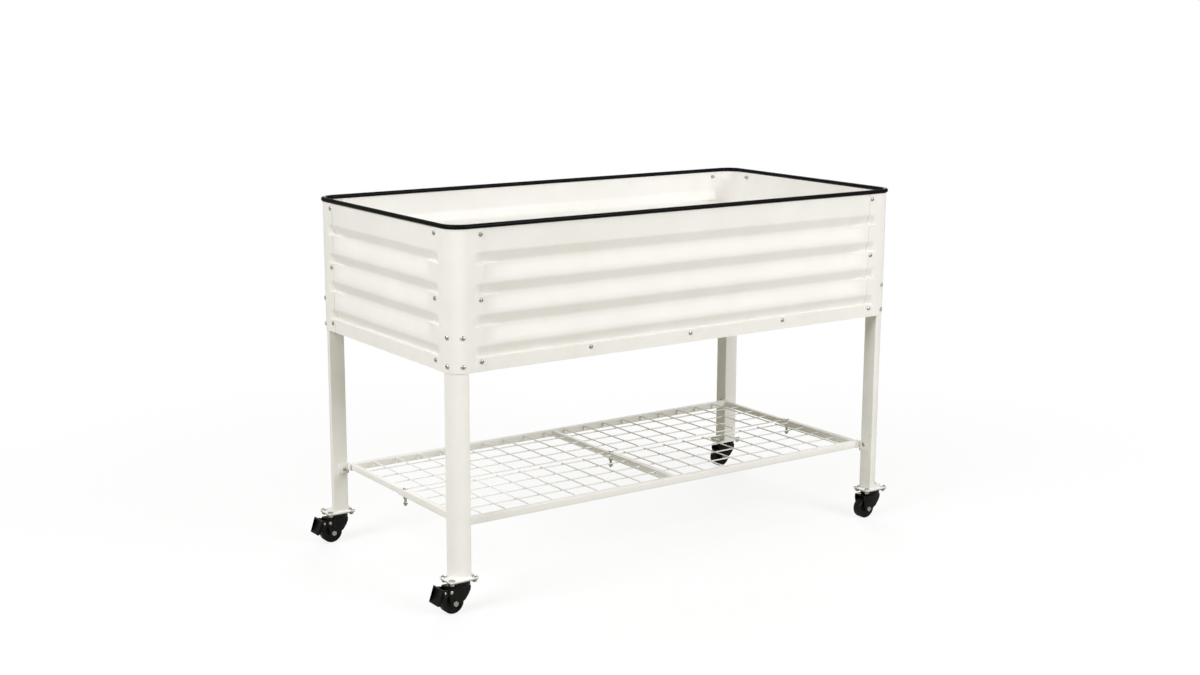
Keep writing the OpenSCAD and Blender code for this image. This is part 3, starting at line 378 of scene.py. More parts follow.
leg_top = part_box("leg_back_right")[1].z
foot_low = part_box("caster_plate_back_right")[1].z
foot_high = foot_low + 2.5 * mm
foot_w, foot_d = 70 * mm, 50 * mm
leg_r = 38.5 * mm
leg_wall = 1.5 * mm
leg_edge = 2.2 * mm              # outside radius where a flat face meets the next one
weld_leg = 2.6 * mm              # how far the weld bead reaches up the leg and out on the plate
leg_sink = 0.2 * mm              # how far the weld draws the leg into the plate
plate_corner_r = 4 * mm
plate_edge = 0.5 * mm            # softened edge of a stamped plate


def rounded(corner_list, steps=5):
    """An outline from corners (x, y, radius), each rounded by an arc of that radius."""
    outline = []
    for i, (x, y, radius) in enumerate(corner_list):
        here = Vector((x, y))
        before = Vector(corner_list[i - 1][:2]) - here
        after = Vector(corner_list[(i + 1) % len(corner_list)][:2]) - here
        if not radius:
            outline.append(here)
            continue
        before, after = before.normalized(), after.normalized()
        half = before.angle(after) / 2
        middle = here + (before + after).normalized() * radius / math.sin(half)
        first = here + before * radius / math.tan(half) - middle
        last = here + after * radius / math.tan(half) - middle
        turn = -first.angle_signed(last)
        for step in range(steps + 1):
            angle = turn * step / steps
            outline.append(middle + Vector((first.x * math.cos(angle) - first.y * math.sin(angle),
                                            first.x * math.sin(angle) + first.y * math.cos(angle))))
    return outline


def rectangle(width, depth, radius):
    x, y = width / 2, depth / 2
    return rounded([(-x, -y, radius), (x, -y, radius), (x, y, radius), (-x, y, radius)])


def inset(outline, distance):
    """The outline moved inwards by a distance; it runs anticlockwise."""
    moved = []
    for i, point in enumerate(outline):
        before = (point - outline[i - 1]).normalized()
        after = (outline[(i + 1) % len(outline)] - point).normalized()
        inward = Vector((-before.y - after.y, before.x + after.x)).normalized()
        moved.append(point + inward * distance / max(inward.dot(Vector((-before.y, before.x))), 0.3))
    return moved


def plate(outline, low, high, edge=plate_edge):
    """A flat plate with an outline in X and Y, and softened edges at its two faces."""
    rings = [(edge, low), (edge * 0.3, low + edge * 0.3), (0, low + edge),
             (0, high - edge), (edge * 0.3, high - edge * 0.3), (edge, high)]
    count = len(outline)
    points = [(p.x, p.y, z) for cut, z in rings for p in inset(outline, cut)]
    faces = [tuple(reversed(range(count))), tuple(range(count * (len(rings) - 1), count * len(rings)))]
    for start in range(0, count * (len(rings) - 1), count):
        faces += band(start, start + count, count)
    return points, faces


def placed(shape, matrix):
    """The shape moved by a matrix, with its faces still looking outwards if the matrix mirrors."""
    points = [matrix @ Vector(p) for p in shape[0]]
    faces = shape[1] if matrix.determinant() > 0 else [tuple(reversed(face)) for face in shape[1]]
    return points, faces


def hollow(outer, inner, frames):
    """A tube with open ends, from two outlines with as many points, along frames."""
    count = len(outer)
    shell = swept(outer, frames)
    bore = swept(inner, frames)
    points, faces = joined([(shell[0], shell[1][:-2]),
                            (bore[0], [tuple(reversed(face)) for face in bore[1][:-2]])])
    offset = len(shell[0])
    for start, flip in ((0, False), ((len(frames) - 1) * count, True)):
        for j in range(count):
            k = (j + 1) % count
            rim = (start + j, offset + start + j, offset + start + k, start + k)
            faces.append(tuple(reversed(rim)) if flip else rim)
    return points, faces


def quarter_outline(radius, flat, edge):
    """A quarter disc's outline from its corner at (flat, flat), as a tube's section."""
    start = math.asin(flat / radius) if flat else 0
    arc = [(start + (math.pi / 2 - 2 * start) * i / 14) for i in range(15)]
    bow = [(radius * math.cos(a), radius * math.sin(a), 0) for a in arc]
    bow[0] = (*bow[0][:2], edge)
    bow[-1] = (*bow[-1][:2], edge)
    return rounded([(flat, flat, edge), *bow])


def upright(x, y, heights):
    return [(Vector((x, y, z)), Vector((1, 0, 0)), Vector((0, 1, 0))) for z in heights]


def weld_bead(outline, low):
    """A fillet weld round the foot of a tube, with the small ripples that a welder leaves."""
    points, faces, count = [], [], len(outline)
    for i, point in enumerate(outline):
        ripple = 1 + 0.12 * math.sin(i * 2.4)
        for out, up in ((0.0, weld_leg), (0.35, weld_leg * 0.45), (1.0, 0.0)):
            moved = inset(outline, -out * weld_leg * ripple)[i]
            points.append((moved.x, moved.y, low + up * ripple))
    for i in range(count):
        k = (i + 1) % count
        for j in range(2):
            faces.append((i * 3 + j, i * 3 + j + 1, k * 3 + j + 1, k * 3 + j))
    return points, faces


def densified(outline, spacing):
    """The outline with more points, so that no two are further apart than the spacing."""
    result = []
    for i, point in enumerate(outline):
        following = outline[(i + 1) % len(outline)]
        parts = max(1, math.ceil((following - point).length / spacing))
        result += [point.lerp(following, j / parts) for j in range(parts)]
    return result


arc_x = bed_high.x - corner_r
arc_y = bed_high.y - corner_r
swivels = {j["child"].replace("swivel_", ""): Vector(j["pos_m"])
           for j in frame["joints"] if j["child"].startswith("swivel_")}
outer_section = quarter_outline(leg_r, 0, leg_edge)
inner_section = quarter_outline(leg_r - leg_wall, leg_wall, leg_edge - leg_wall)
for corner, (side_x, side_y) in corners.items():
    turn = Matrix.Diagonal((side_x, side_y, 1, 1))
    tube = hollow(outer_section, inner_section, upright(0, 0, [foot_high - leg_sink, leg_top]))
    bead = weld_bead(densified(outer_section, 2.5 * mm), foot_high)
    leg = placed(placed(joined([tube, bead]), Matrix.Translation((arc_x, arc_y, 0))), turn)
    foot = placed(plate(rectangle(foot_w, foot_d, plate_corner_r), foot_low, foot_high),
                  Matrix.Translation((swivels[corner].x, swivels[corner].y, 0)))
    make_piece("leg_" + corner + "_tube", joined([leg, foot]), coat, "planter",
               ["leg_" + corner], crease=40)

# ---------------- screws, bolts and nuts
# Zinc-plated steel hardware, cold-formed and tumbled in the plating barrel. The sheets are joined
# by round-headed screws with a hexagonal socket, and the casters by plain round-headed bolts.

screw_nodes = ["wall_screws", "leg_screws", "support_screws", "shelf_corner_screws"]
bolt_nodes = ["shelf_joint_bolts", "caster_bolts"]
nut_nodes = ["wall_nuts", "support_nuts", "shelf_joint_nuts", "caster_nuts"]
around = 24                      # sides of a turned shape's small rings


def zinc_plate():
    """Bright zinc on steel with a clear passivation: mid-grey metal that is mottled by the
    barrel. Handling marks are under 1 mm, and are drawn 2 mm across so that they show."""
    material, tree, shader = new_surface("barrel_zinc_plate", {
        "Base Color": linear("#BEBEBB"), "Metallic": 1.0, "Roughness": 0.3,
    })
    place = add_node(tree, "ShaderNodeTexCoord").outputs["Object"]
    mottle = add_node(tree, "ShaderNodeTexNoise", {"Scale": 1 / (2 * mm), "Detail": 4}, {"Vector": place})
    tone = add_node(tree, "ShaderNodeValToRGB", links={"Fac": mottle.outputs["Fac"]},
                    to=shader.inputs["Base Color"])
    dark, light = tone.color_ramp.elements
    dark.position, light.position = 0.35, 0.65
    dark.color, light.color = linear("#AEAEA9"), linear("#CCCCC8")
    add_node(tree, "ShaderNodeMapRange", {"To Min": 0.22, "To Max": 0.42},
             {"Value": mottle.outputs["Fac"]}, to=shader.inputs["Roughness"])
    add_node(tree, "ShaderNodeBump", {"Strength": 0.2, "Distance": 0.05 * mm},
             {"Height": mottle.outputs["Fac"]}, to=shader.inputs["Normal"])
    return material


zinc = zinc_plate()


def turned(profile, sides=around, flats=None):
    """A solid turned about Z from a profile of (radius, height), from the bottom up. A ring that
    flats names has its circle pinched to a hexagon of that inscribed radius."""
    points, faces, rings = [], [], []
    for level, (radius, height) in enumerate(profile):
        if radius < 1e-7:
            rings.append([len(points)])
            points.append(Vector((0, 0, height)))
            continue
        rings.append(list(range(len(points), len(points) + sides)))
        for i in range(sides):
            angle = 2 * math.pi * i / sides
            reach = radius
            if flats and level in flats:
                reach = radius / math.cos((angle + math.pi / 6) % (math.pi / 3) - math.pi / 6)
            points.append(Vector((reach * math.cos(angle), reach * math.sin(angle), height)))
    for lower, upper in zip(rings, rings[1:]):
        for i in range(sides):
            k = (i + 1) % sides
            corners_here = [lower[i % len(lower)], lower[k % len(lower)],
                            upper[k % len(upper)], upper[i % len(upper)]]
            faces.append(tuple(dict.fromkeys(corners_here)))
    return points, faces


def solids_in(node):
    """The separate solids of a CAD node, each as its points and its faces."""
    whole = bmesh.new()
    whole.from_mesh(frame["nodes"][node].data)
    bmesh.ops.remove_doubles(whole, verts=whole.verts, dist=1e-6)
    waiting = set(whole.verts)
    while waiting:
        group, edge = set(), [min(waiting, key=lambda v: v.index)]
        while edge:
            vert = edge.pop()
            if vert not in group:
                group.add(vert)
                edge += [e.other_vert(vert) for e in vert.link_edges]
        waiting -= group
        # In a fixed order, so that every run picks the same one of several like corners
        group = sorted(group, key=lambda v: v.index)
        faces = dict.fromkeys(face for vert in group for face in vert.link_faces)
        yield ([vert.co.copy() for vert in group],
               [(face.normal.copy(), face.calc_area()) for face in faces])
    whole.free()


def fastener_axis(faces):
    """The way that the largest flat area of a screw or nut looks: away from a screw's head."""
    areas = {}
    for normal, area in faces:
        way = tuple(round(c, 2) for c in normal)
        areas[way] = areas.get(way, 0) + area
    return Vector(max(areas, key=lambda way: (round(areas[way], 9), way))).normalized()


def screw_sizes(points, faces):
    """A CAD screw's seat, the way its head points, and its head's and shank's radius and length."""
    axis = -fastener_axis(faces)
    along = [p.dot(axis) for p in points]
    crown = points[along.index(max(along))]
    off_axis = [((p - crown) - axis * (p - crown).dot(axis)).length for p in points]
    head_r = max(off_axis)
    seat = min(a for a, r in zip(along, off_axis) if r > head_r * 0.98)
    shank_r = max(r for a, r in zip(along, off_axis) if a < min(along) + 1e-5)
    origin = crown + axis * (seat - max(along))
    return origin, axis, head_r, max(along) - seat, shank_r, seat - min(along)


def screw_shape(origin, axis, head_r, head_h, shank_r, shank_l, socket):
    """A round-headed screw with a threaded shank, and a hexagonal socket if it has one."""
    thread = 0.8 * mm
    turns = int(shank_l / thread)
    profile = [(0, -shank_l), (shank_r * 0.7, -shank_l)]
    for i in range(turns):
        low = -shank_l + 0.3 * mm + thread * i
        if low + thread < -0.2 * mm:
            profile += [(shank_r * 0.88, low), (shank_r, low + thread / 2)]
    profile += [(shank_r * 0.95, 0), (head_r * 0.94, 0), (head_r, head_h * 0.12)]
    steps = 6
    rim = head_h * 0.3
    rise = [math.pi / 2 * i / steps for i in range(steps + 1)]
    dome = [(head_r * math.cos(a), rim + (head_h - rim) * math.sin(a)) for a in rise]
    flats = None
    if socket:
        width = head_r * 0.36
        dome = [(r, z) for r, z in dome if r > width * 1.35]
        level = dome[-1][1]
        profile += dome + [(width * 1.2, level + (head_h - level) * 0.55), (width, head_h * 0.86),
                           (width * 0.98, head_h * 0.25), (0, head_h * 0.1)]
        flats = {len(profile) - 3, len(profile) - 2}
    else:
        profile += dome[:-1] + [(0, head_h)]
    turn = axis.to_track_quat("Z", "Y").to_matrix().to_4x4()
    return placed(turned(profile, flats=flats), Matrix.Translation(origin) @ turn)


def nut_shape(points, faces):
    """A hexagonal nut with chamfered corners, where the CAD one is."""
    axis = fastener_axis(faces)
    centre = sum(points, Vector()) / len(points)
    along = [(p - centre).dot(axis) for p in points]
    flat = [(p - centre) - axis * a for p, a in zip(points, along)]
    corner_out = max(flat, key=lambda p: round(p.length, 7))
    radius, bore = corner_out.length, min(p.length for p in flat)
    low, high = min(along), max(along)
    inscribed = radius * math.cos(math.pi / 6)
    chamfer = (radius - inscribed) * 0.6
    face_r = inscribed * 0.97
    profile = [(bore, low), (face_r, low), (inscribed, low + chamfer), (inscribed, high - chamfer),
               (face_r, high), (bore, high), (bore, low)]
    side = axis.cross(corner_out.normalized())
    turn = Matrix((corner_out.normalized(), side, axis)).transposed().to_4x4()
    spin = Matrix.Rotation(math.pi / 6, 4, "Z")
    return placed(turned(profile, flats={2, 3}), Matrix.Translation(centre) @ turn @ spin)


for node in screw_nodes + bolt_nodes:
    shapes = [screw_shape(*screw_sizes(*solid), node in screw_nodes) for solid in solids_in(node)]
    make_piece(node + "_zinc", joined(shapes), zinc, "planter", [node])
for node in nut_nodes:
    shapes = [nut_shape(*solid) for solid in solids_in(node)]
    make_piece(node + "_zinc", joined(shapes), zinc, "planter", [node], crease=25)
frame["nodes"]["leg_weld_nuts"].material_slots[0].material = zinc

# ---------------- the shelf's two frames
# Each half is a long square tube with three short ones welded to it and two ear plates at each end,
# coated as one. The back half's short tubes slide into the front half's.

shelf_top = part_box("shelf_front_frame")[1].z
ear_h, ear_t, ear_reach, ear_seat = 24 * mm, 2 * mm, 25 * mm, 14 * mm
shelf_x, shelf_y = arc_x - ear_t, arc_y - ear_t
tube_w, tube_h, tube_wall = 15 * mm, 16 * mm, 1.2 * mm
tube_edge = 1.8 * mm             # outside radius of a square tube's corner
slide_gap = 0.3 * mm
tube_sink = 0.3 * mm             # how far the weld draws a short tube into the long one
lap = 40 * mm
tube_middle = shelf_top - tube_h / 2
stub_places = [-(shelf_x - tube_w / 2), 0, shelf_x - tube_w / 2]
inner_w = tube_w - 2 * (tube_wall + slide_gap)
inner_h = tube_h - 2 * (tube_wall + slide_gap)


def square_tube(start, end, width, height):
    """A square steel tube between two points, with its height upright and its ends open."""
    run = (end - start).normalized()
    up = Vector((0, 0, 1))
    across = up.cross(run)
    frames = [(start, -across, up), (end, -across, up)]
    outer = rectangle(width, height, tube_edge)
    inner = rectangle(width - 2 * tube_wall, height - 2 * tube_wall, tube_edge - tube_wall)
    points, faces = hollow(outer, inner, frames)
    return points, [tuple(reversed(face)) for face in faces]


def ear_plate(along_x):
    """A stamped ear plate that stands on edge: as high as the tube where it is welded to it, and
    deeper where it is screwed to the leg."""
    soft = 2 * mm
    flat = plate(rounded([(-ear_seat, -tube_h, 0), (-ear_t, -tube_h, soft), (-ear_t, -ear_h, soft),
                          (ear_reach, -ear_h, soft), (ear_reach, 0, soft), (-ear_seat, 0, 0)]),
                 -ear_t, 0, 0.35 * mm)
    run, rise = (1, 0, 0), (0, 0, 1)
    to_x, to_y = (run, rise) if along_x else (rise, run)
    return placed(flat, Matrix(((*to_x, arc_x), (*to_y, arc_y), (0, 1, 0, shelf_top), (0, 0, 0, 1))))


def shelf_half(side_y, width, height):
    """One half of the shelf's frame; side_y is 1 at the back and -1 at the front."""
    rail_y = shelf_y - tube_w / 2
    shapes = [square_tube(Vector((-shelf_x, rail_y, tube_middle)), Vector((shelf_x, rail_y, tube_middle)),
                          tube_w, tube_h)]
    for x in stub_places:
        shapes.append(square_tube(Vector((x, -lap / 2, tube_middle)),
                                  Vector((x, shelf_y - tube_w + tube_sink, tube_middle)), width, height))
    for mirrored in (1, -1):
        ears = joined([ear_plate(True), ear_plate(False)])
        shapes.append(placed(ears, Matrix.Diagonal((mirrored, 1, 1, 1))))
    return placed(joined(shapes), Matrix.Diagonal((1, side_y, 1, 1)))


for half, *sizes in (("front", -1, tube_w, tube_h), ("back", 1, inner_w, inner_h)):
    make_piece(f"shelf_{half}_frame_tubes", shelf_half(*sizes), coat, "planter",
               [f"shelf_{half}_frame"], crease=40)

# ---------------- the shelf's wire mesh
# Round steel wires, spot welded where they cross and coated with the frames. Each crosswise wire
# turns down at the long tube, and the lengthwise ones are welded to the short tubes.

wire_r = 1.5 * mm
wire_pitch = 60 * mm
row_first = 15 * mm
row_count = 4
wire_bend = 4.5 * mm
wire_past = 3 * mm
mesh_y = shelf_y - tube_w
wires_each_way = 9
cross_z = shelf_top - wire_r
wire_sink = 0.3 * mm             # how far a spot weld draws two wires into each other
long_z = cross_z - 2 * wire_r + wire_sink


def wire(path):
    """A round wire along a path of points, cut square at its ends."""
    frames = []
    for i, point in enumerate(path):
        way = (path[min(i + 1, len(path) - 1)] - path[max(i - 1, 0)]).normalized()
        side = Vector((1, 0, 0)) if abs(way.x) < 0.5 else Vector((0, 1, 0))
        frames.append((point, side, way.cross(side)))
    ring = [(wire_r * math.cos(math.tau * i / 12), wire_r * math.sin(math.tau * i / 12)) for i in range(12)]
    return swept(ring, frames)


def cross_wire(x):
    """A wire from near the joint to the long tube, bent down along the tube's face."""
    start = row_first - wire_past
    down_y = mesh_y - wire_r
    path = [Vector((x, start, cross_z)), Vector((x, (start + down_y) / 2, cross_z))]
    for i in range(7):
        angle = math.radians(90 * i / 6)
        path.append(Vector((x, down_y - wire_bend + wire_bend * math.sin(angle),
                            cross_z - wire_bend + wire_bend * math.cos(angle))))
    path.append(Vector((x, down_y, shelf_top - tube_h + wire_r)))
    return wire(path)


def mesh_half(side_y, stub_width):
    shapes = [cross_wire(side * (i + 0.5) * wire_pitch) for i in range(wires_each_way) for side in (-1, 1)]
    for row in range(row_count):
        y = row_first + row * (mesh_y - row_first) / row_count
        met = tube_w if y + wire_r < lap / 2 else stub_width
        for side in (-1, 1):
            shapes.append(wire([Vector((side * met / 2, y, long_z)),
                                Vector((side * (stub_places[2] - met / 2), y, long_z))]))
    return placed(joined(shapes), Matrix.Diagonal((1, side_y, 1, 1)))


for half, *sizes in (("front", -1, tube_w), ("back", 1, inner_w)):
    make_piece(f"shelf_{half}_wires", mesh_half(*sizes), coat, "planter",
               [f"shelf_{half}_mesh"], crease=60)

# ---------------- the casters' plates and bearings
# A stamped and zinc-plated plate is bolted under each foot. The swivel's upper race is pressed
# into it, the king pin is riveted through it, and loose steel balls run below the race.

pad_w, pad_d = 68 * mm, 48 * mm
plate_high = foot_low
plate_low = plate_high - 2.5 * mm
crown_z = 59 * mm
race_z = 62.2 * mm
ball_z = 60.6 * mm
ball_path_r = 15 * mm
ball_r = 2.2 * mm
ball_count = 12
king_r = 5 * mm
king_head_r = 8 * mm
king_head_z = 56.7 * mm
king_head_h = 2.2 * mm


def caster_plate():
    pad = plate(rectangle(pad_w, pad_d, plate_corner_r), plate_low, plate_high)
    ring_in, ring_out = ball_path_r - ball_r - 2 * mm, ball_path_r + ball_r + 2 * mm
    head_low = king_head_z - king_head_h
    race = turned([(ring_in, race_z), (ring_out - 0.6 * mm, race_z), (ring_out, race_z + 0.6 * mm),
                   (ring_out, plate_low), (ring_in, plate_low), (ring_in, race_z)], 48)
    pin = turned([(0, head_low), (king_head_r - 1.2 * mm, head_low),
                  (king_head_r, king_head_z - king_head_h * 0.5), (king_head_r, king_head_z),
                  (king_r, king_head_z), (king_r, plate_low), (0, plate_low)], 32)
    return joined([pad, race, pin])


def bearing_balls():
    """A ring of steel balls, each turned from a half circle."""
    half = [(ball_r * math.sin(math.pi * i / 10), -ball_r * math.cos(math.pi * i / 10)) for i in range(11)]
    half[0], half[-1] = (0, -ball_r), (0, ball_r)
    angles = [math.tau * i / ball_count for i in range(ball_count)]
    places = [(ball_path_r * math.cos(a), ball_path_r * math.sin(a), ball_z) for a in angles]
    return joined([placed(turned(half, 16), Matrix.Translation(place)) for place in places])


def on_each_caster(kind, shape, finish, slot, body, x=0, z=0):
    """A piece for each caster that has this node, all of one mesh. It is drawn about a point that
    lies x in front of the king pin's axis and z above the floor; {} in body is the corner's name."""
    for corner, spot in swivels.items():
        node = f"{kind}_{corner}"
        if node in frame["nodes"]:
            made = make_piece(node + "_part", shape, finish, body.format(corner), [node],
                              crease=35, at=(spot.x + x, spot.y, z))
            shape = made.data


on_each_caster("caster_plate", caster_plate(), zinc, "zinc_steel", "planter")
on_each_caster("ball_race", bearing_balls(), zinc, "zinc_steel", "swivel_{}")

# ---------------- the forks
# A fork is pressed from one sheet of steel and painted black: a round cup that holds the balls,
# and two cheeks that carry the axle. The cheeks lean back to the axle, behind the swivel.


def black_paint():
    """Black electro-dipped paint over pressed steel: a thin even film that stays glossy on the
    flats. Its grain is far below 1 mm, and is drawn 2 mm across so that it shows."""
    material, tree, shader = new_surface("black_dip_paint", {
        "Base Color": linear("#0A0A0B"), "Roughness": 0.2, "IOR": 1.5, "Specular IOR Level": 0.25,
    })
    place = add_node(tree, "ShaderNodeTexCoord").outputs["Object"]
    grain = add_node(tree, "ShaderNodeTexNoise", {"Scale": 1 / (2 * mm), "Detail": 3}, {"Vector": place})
    add_node(tree, "ShaderNodeBump", {"Strength": 0.2, "Distance": 0.08 * mm},
             {"Height": grain.outputs["Fac"]}, to=shader.inputs["Normal"])
    add_node(tree, "ShaderNodeMapRange", {"To Min": 0.15, "To Max": 0.28},
             {"Value": grain.outputs["Fac"]}, to=shader.inputs["Roughness"])
    return material


black = black_paint()
fork_t = 2 * mm
cheek_y = 15 * mm
crown_r = 23 * mm
skirt_top = plate_low - 1.5 * mm
running_gap = 0.06 * mm          # between a pin and what turns on it
axle = Vector((-20 * mm, 25 * mm))          # behind the swivel, above the floor
cheek_r = 10 * mm
cheek_back, cheek_front = 35 * mm, 18.5 * mm


def cheek_outline():
    """Side view of a cheek, with X towards the front and Y up, run anticlockwise."""
    low = [(axle.x + cheek_r * math.cos(a), axle.y + cheek_r * math.sin(a), 0)
           for a in (math.radians(195 + 115 * i / 12) for i in range(13))]
    return rounded([
        *low,
        (cheek_front - 13 * mm, axle.y + 4.6 * mm, 6 * mm),
        (cheek_front - 5.5 * mm, crown_z - 19 * mm, 8 * mm),
        (cheek_front - 1 * mm, crown_z - 10 * mm, 6 * mm),
        (cheek_front, crown_z, 2 * mm),
        (-cheek_back + 1 * mm, crown_z, 3 * mm),
        (-cheek_back, crown_z - 8 * mm, 5 * mm),
        (-cheek_back + 2 * mm, axle.y + 16 * mm, 8 * mm),
    ])


def side_plate(outline, near, far, edge=0.5 * mm):
    """A plate whose outline is a side view, between two distances along Y."""
    stand = Matrix(((1, 0, 0, 0), (0, 0, -1, 0), (0, 1, 0, 0), (0, 0, 0, 1)))
    return placed(plate(outline, -far, -near, edge), stand)


def fork():
    outside = cheek_y + fork_t
    cheeks = [side_plate(cheek_outline(), near, near + fork_t) for near in (-outside, cheek_y)]
    low = crown_z - fork_t
    back, soft = -cheek_back + 1 * mm, 2 * mm
    web = plate(rounded([(back, -outside, soft), (0, -outside, 0), (0, outside, 0), (back, outside, soft)]),
                low, crown_z, 0.6 * mm)
    bend = 2.5 * mm
    curve = [(crown_r - bend + bend * math.sin(math.pi / 2 * i / 5),
              low + bend - bend * math.cos(math.pi / 2 * i / 5)) for i in range(6)]
    edge = 0.4 * mm
    hole, inner_r = king_r + running_gap, crown_r - fork_t
    cup = turned([(hole, low), *curve, (crown_r, skirt_top - edge), (crown_r - edge, skirt_top),
                  (inner_r + edge, skirt_top), (inner_r, skirt_top - edge), (inner_r, crown_z),
                  (hole, crown_z), (hole, low)], 64)
    return joined([*cheeks, web, cup])


on_each_caster("fork", fork(), black, "black_steel", "swivel_{}")

# ---------------- the wheels and axles
# Each wheel is moulded in one shot from black nylon, with a rounded tread and a recessed web. It
# turns on a steel sleeve that the zinc-plated axle bolt and its nut clamp between the cheeks.


def moulded_nylon(name, code, rough):
    """Black glass-filled nylon from a textured mould: a dry, even sheen. Spark-eroded texture is
    about 0.1 mm, and is drawn 0.7 mm across so that it shows."""
    material, tree, shader = new_surface(name, {
        "Base Color": linear(code), "Roughness": rough, "IOR": 1.53, "Specular IOR Level": 0.25,
    })
    place = add_node(tree, "ShaderNodeTexCoord").outputs["Object"]
    spark = add_node(tree, "ShaderNodeTexNoise", {"Scale": 1 / (0.7 * mm), "Detail": 2}, {"Vector": place})
    add_node(tree, "ShaderNodeBump", {"Strength": 0.35, "Distance": 0.08 * mm},
             {"Height": spark.outputs["Fac"]}, to=shader.inputs["Normal"])
    scuff = add_node(tree, "ShaderNodeTexNoise", {"Scale": 1 / (9 * mm), "Detail": 3}, {"Vector": place})
    add_node(tree, "ShaderNodeMapRange", {"To Min": rough - 0.08, "To Max": rough + 0.1},
             {"Value": scuff.outputs["Fac"]}, to=shader.inputs["Roughness"])
    return material


wheel_nylon = moulded_nylon("moulded_nylon_wheel", "#0E0E0F", 0.42)
wheel_r = 25 * mm
wheel_half = 11 * mm
tread_r = 3 * mm                 # rounding of the tread's shoulders
hub_r, hub_half = 9 * mm, 14.7 * mm
web_r, web_deep = 18.2 * mm, 3 * mm
soft_edge = 0.6 * mm
sleeve_r = 4.5 * mm
sleeve_bore_r = 3.05 * mm
axle_r = 3 * mm
axle_head_w, axle_head_h = 12.5 * mm, 4.5 * mm
axle_nut_w, axle_nut_h = 11.2 * mm, 5 * mm
axle_past = 6 * mm               # how far the bolt's thread reaches past the cheek
lying = Matrix.Rotation(math.radians(-90), 4, "X")       # turns a shape's +Z to +Y


def wheel():
    web = wheel_half - web_deep
    shoulder = [(wheel_r - tread_r + tread_r * math.sin(math.pi / 2 * i / 6),
                 wheel_half - tread_r + tread_r * math.cos(math.pi / 2 * i / 6)) for i in range(7)]
    side = [(sleeve_r + running_gap, hub_half), (hub_r - soft_edge, hub_half),
            (hub_r, hub_half - soft_edge), (hub_r, web + soft_edge), (hub_r + soft_edge, web),
            (web_r, web), (web_r + soft_edge, web + soft_edge),
            (web_r + 0.8 * mm, wheel_half - 0.5 * mm), (web_r + 1.3 * mm, wheel_half), *shoulder]
    whole = [(r, -z) for r, z in side] + [(r, z) for r, z in reversed(side)] + [(side[0][0], -side[0][1])]
    return placed(turned(whole, 72), lying)


def hexagon_on_end(width, low, high):
    """A hexagonal bolt head or nut with rounded-off corners, as wide as this across them, between
    two heights."""
    inscribed = width / 2 * math.cos(math.pi / 6)
    cut = (width / 2 - inscribed) * 0.6
    return turned([(0, low), (inscribed * 0.96, low), (inscribed, low + cut), (inscribed, high - cut),
                   (inscribed * 0.96, high), (0, high)], flats={2, 3})


def axle_bolt():
    outside = cheek_y + fork_t
    end = outside + axle_past
    head = hexagon_on_end(axle_head_w, -outside - axle_head_h, -outside)
    shank = turned([(0, -outside), (axle_r, -outside), (axle_r, end),
                    (axle_r - 0.5 * mm, end + 0.5 * mm), (0, end + 0.5 * mm)])
    nut = hexagon_on_end(axle_nut_w, outside, outside + axle_nut_h)
    sleeve = turned([(sleeve_bore_r, -cheek_y), (sleeve_r, -cheek_y), (sleeve_r, cheek_y),
                     (sleeve_bore_r, cheek_y), (sleeve_bore_r, -cheek_y)])
    return placed(joined([head, shank, nut, sleeve]), lying)


on_each_caster("axle", axle_bolt(), zinc, "zinc_steel", "swivel_{}", *axle)
on_each_caster("wheel", wheel(), wheel_nylon, "wheel_nylon", "wheel_{}", *axle)

# ---------------- the foot brakes
# The casters at the left end have a black nylon pedal that hooks over the fork's back. Two short
# rivets carry it, and its pad is pressed on the tread when the pedal is trodden down.

pedal_nylon = moulded_nylon("moulded_nylon_pedal", "#0E0E0F", 0.36)
pivot = Vector((-28 * mm, 50 * mm))
arm_inner = 12.2 * mm
arm_t = 2.4 * mm
eye_r = 5 * mm                   # round end of an arm, about its rivet
pedal_half = 20 * mm
pedal_back, pedal_top, pedal_bottom = 63 * mm, 61 * mm, 25 * mm
pedal_t = 3 * mm
rib_r = 1 * mm
rib_count = 4
pin_past_pivot = 14 * mm


def from_pedal_top(*places):
    """Side view points from millimetres forward and down, and a corner's radius."""
    return [(-pedal_back + x * mm, pedal_top - down * mm, radius * mm) for x, down, radius in places]


def pedal_face():
    """Side view of the foot plate's face, from its top down, curling out at the foot."""
    curve = from_pedal_top((11, 0, 0), (14, 8, 0), (14.5, 15, 0), (11, 23, 0), (5, 30, 0))
    return [Vector(point[:2]) for point in curve] + [Vector((-pedal_back, pedal_bottom + 2 * mm))]


def smooth_line(points, parts=6):
    """A smooth line through points, by Catmull and Rom's rule."""
    line = []
    for i in range(len(points) - 1):
        p0, p1, p2 = points[max(i - 1, 0)], points[i], points[i + 1]
        p3 = points[min(i + 2, len(points) - 1)]
        for j in range(parts):
            t = j / parts
            line.append(0.5 * ((2 * p1) + (p2 - p0) * t + (2 * p0 - 5 * p1 + 4 * p2 - p3) * t * t
                               + (3 * p1 - p0 - 3 * p2 + p3) * t ** 3))
    return line + [points[-1]]


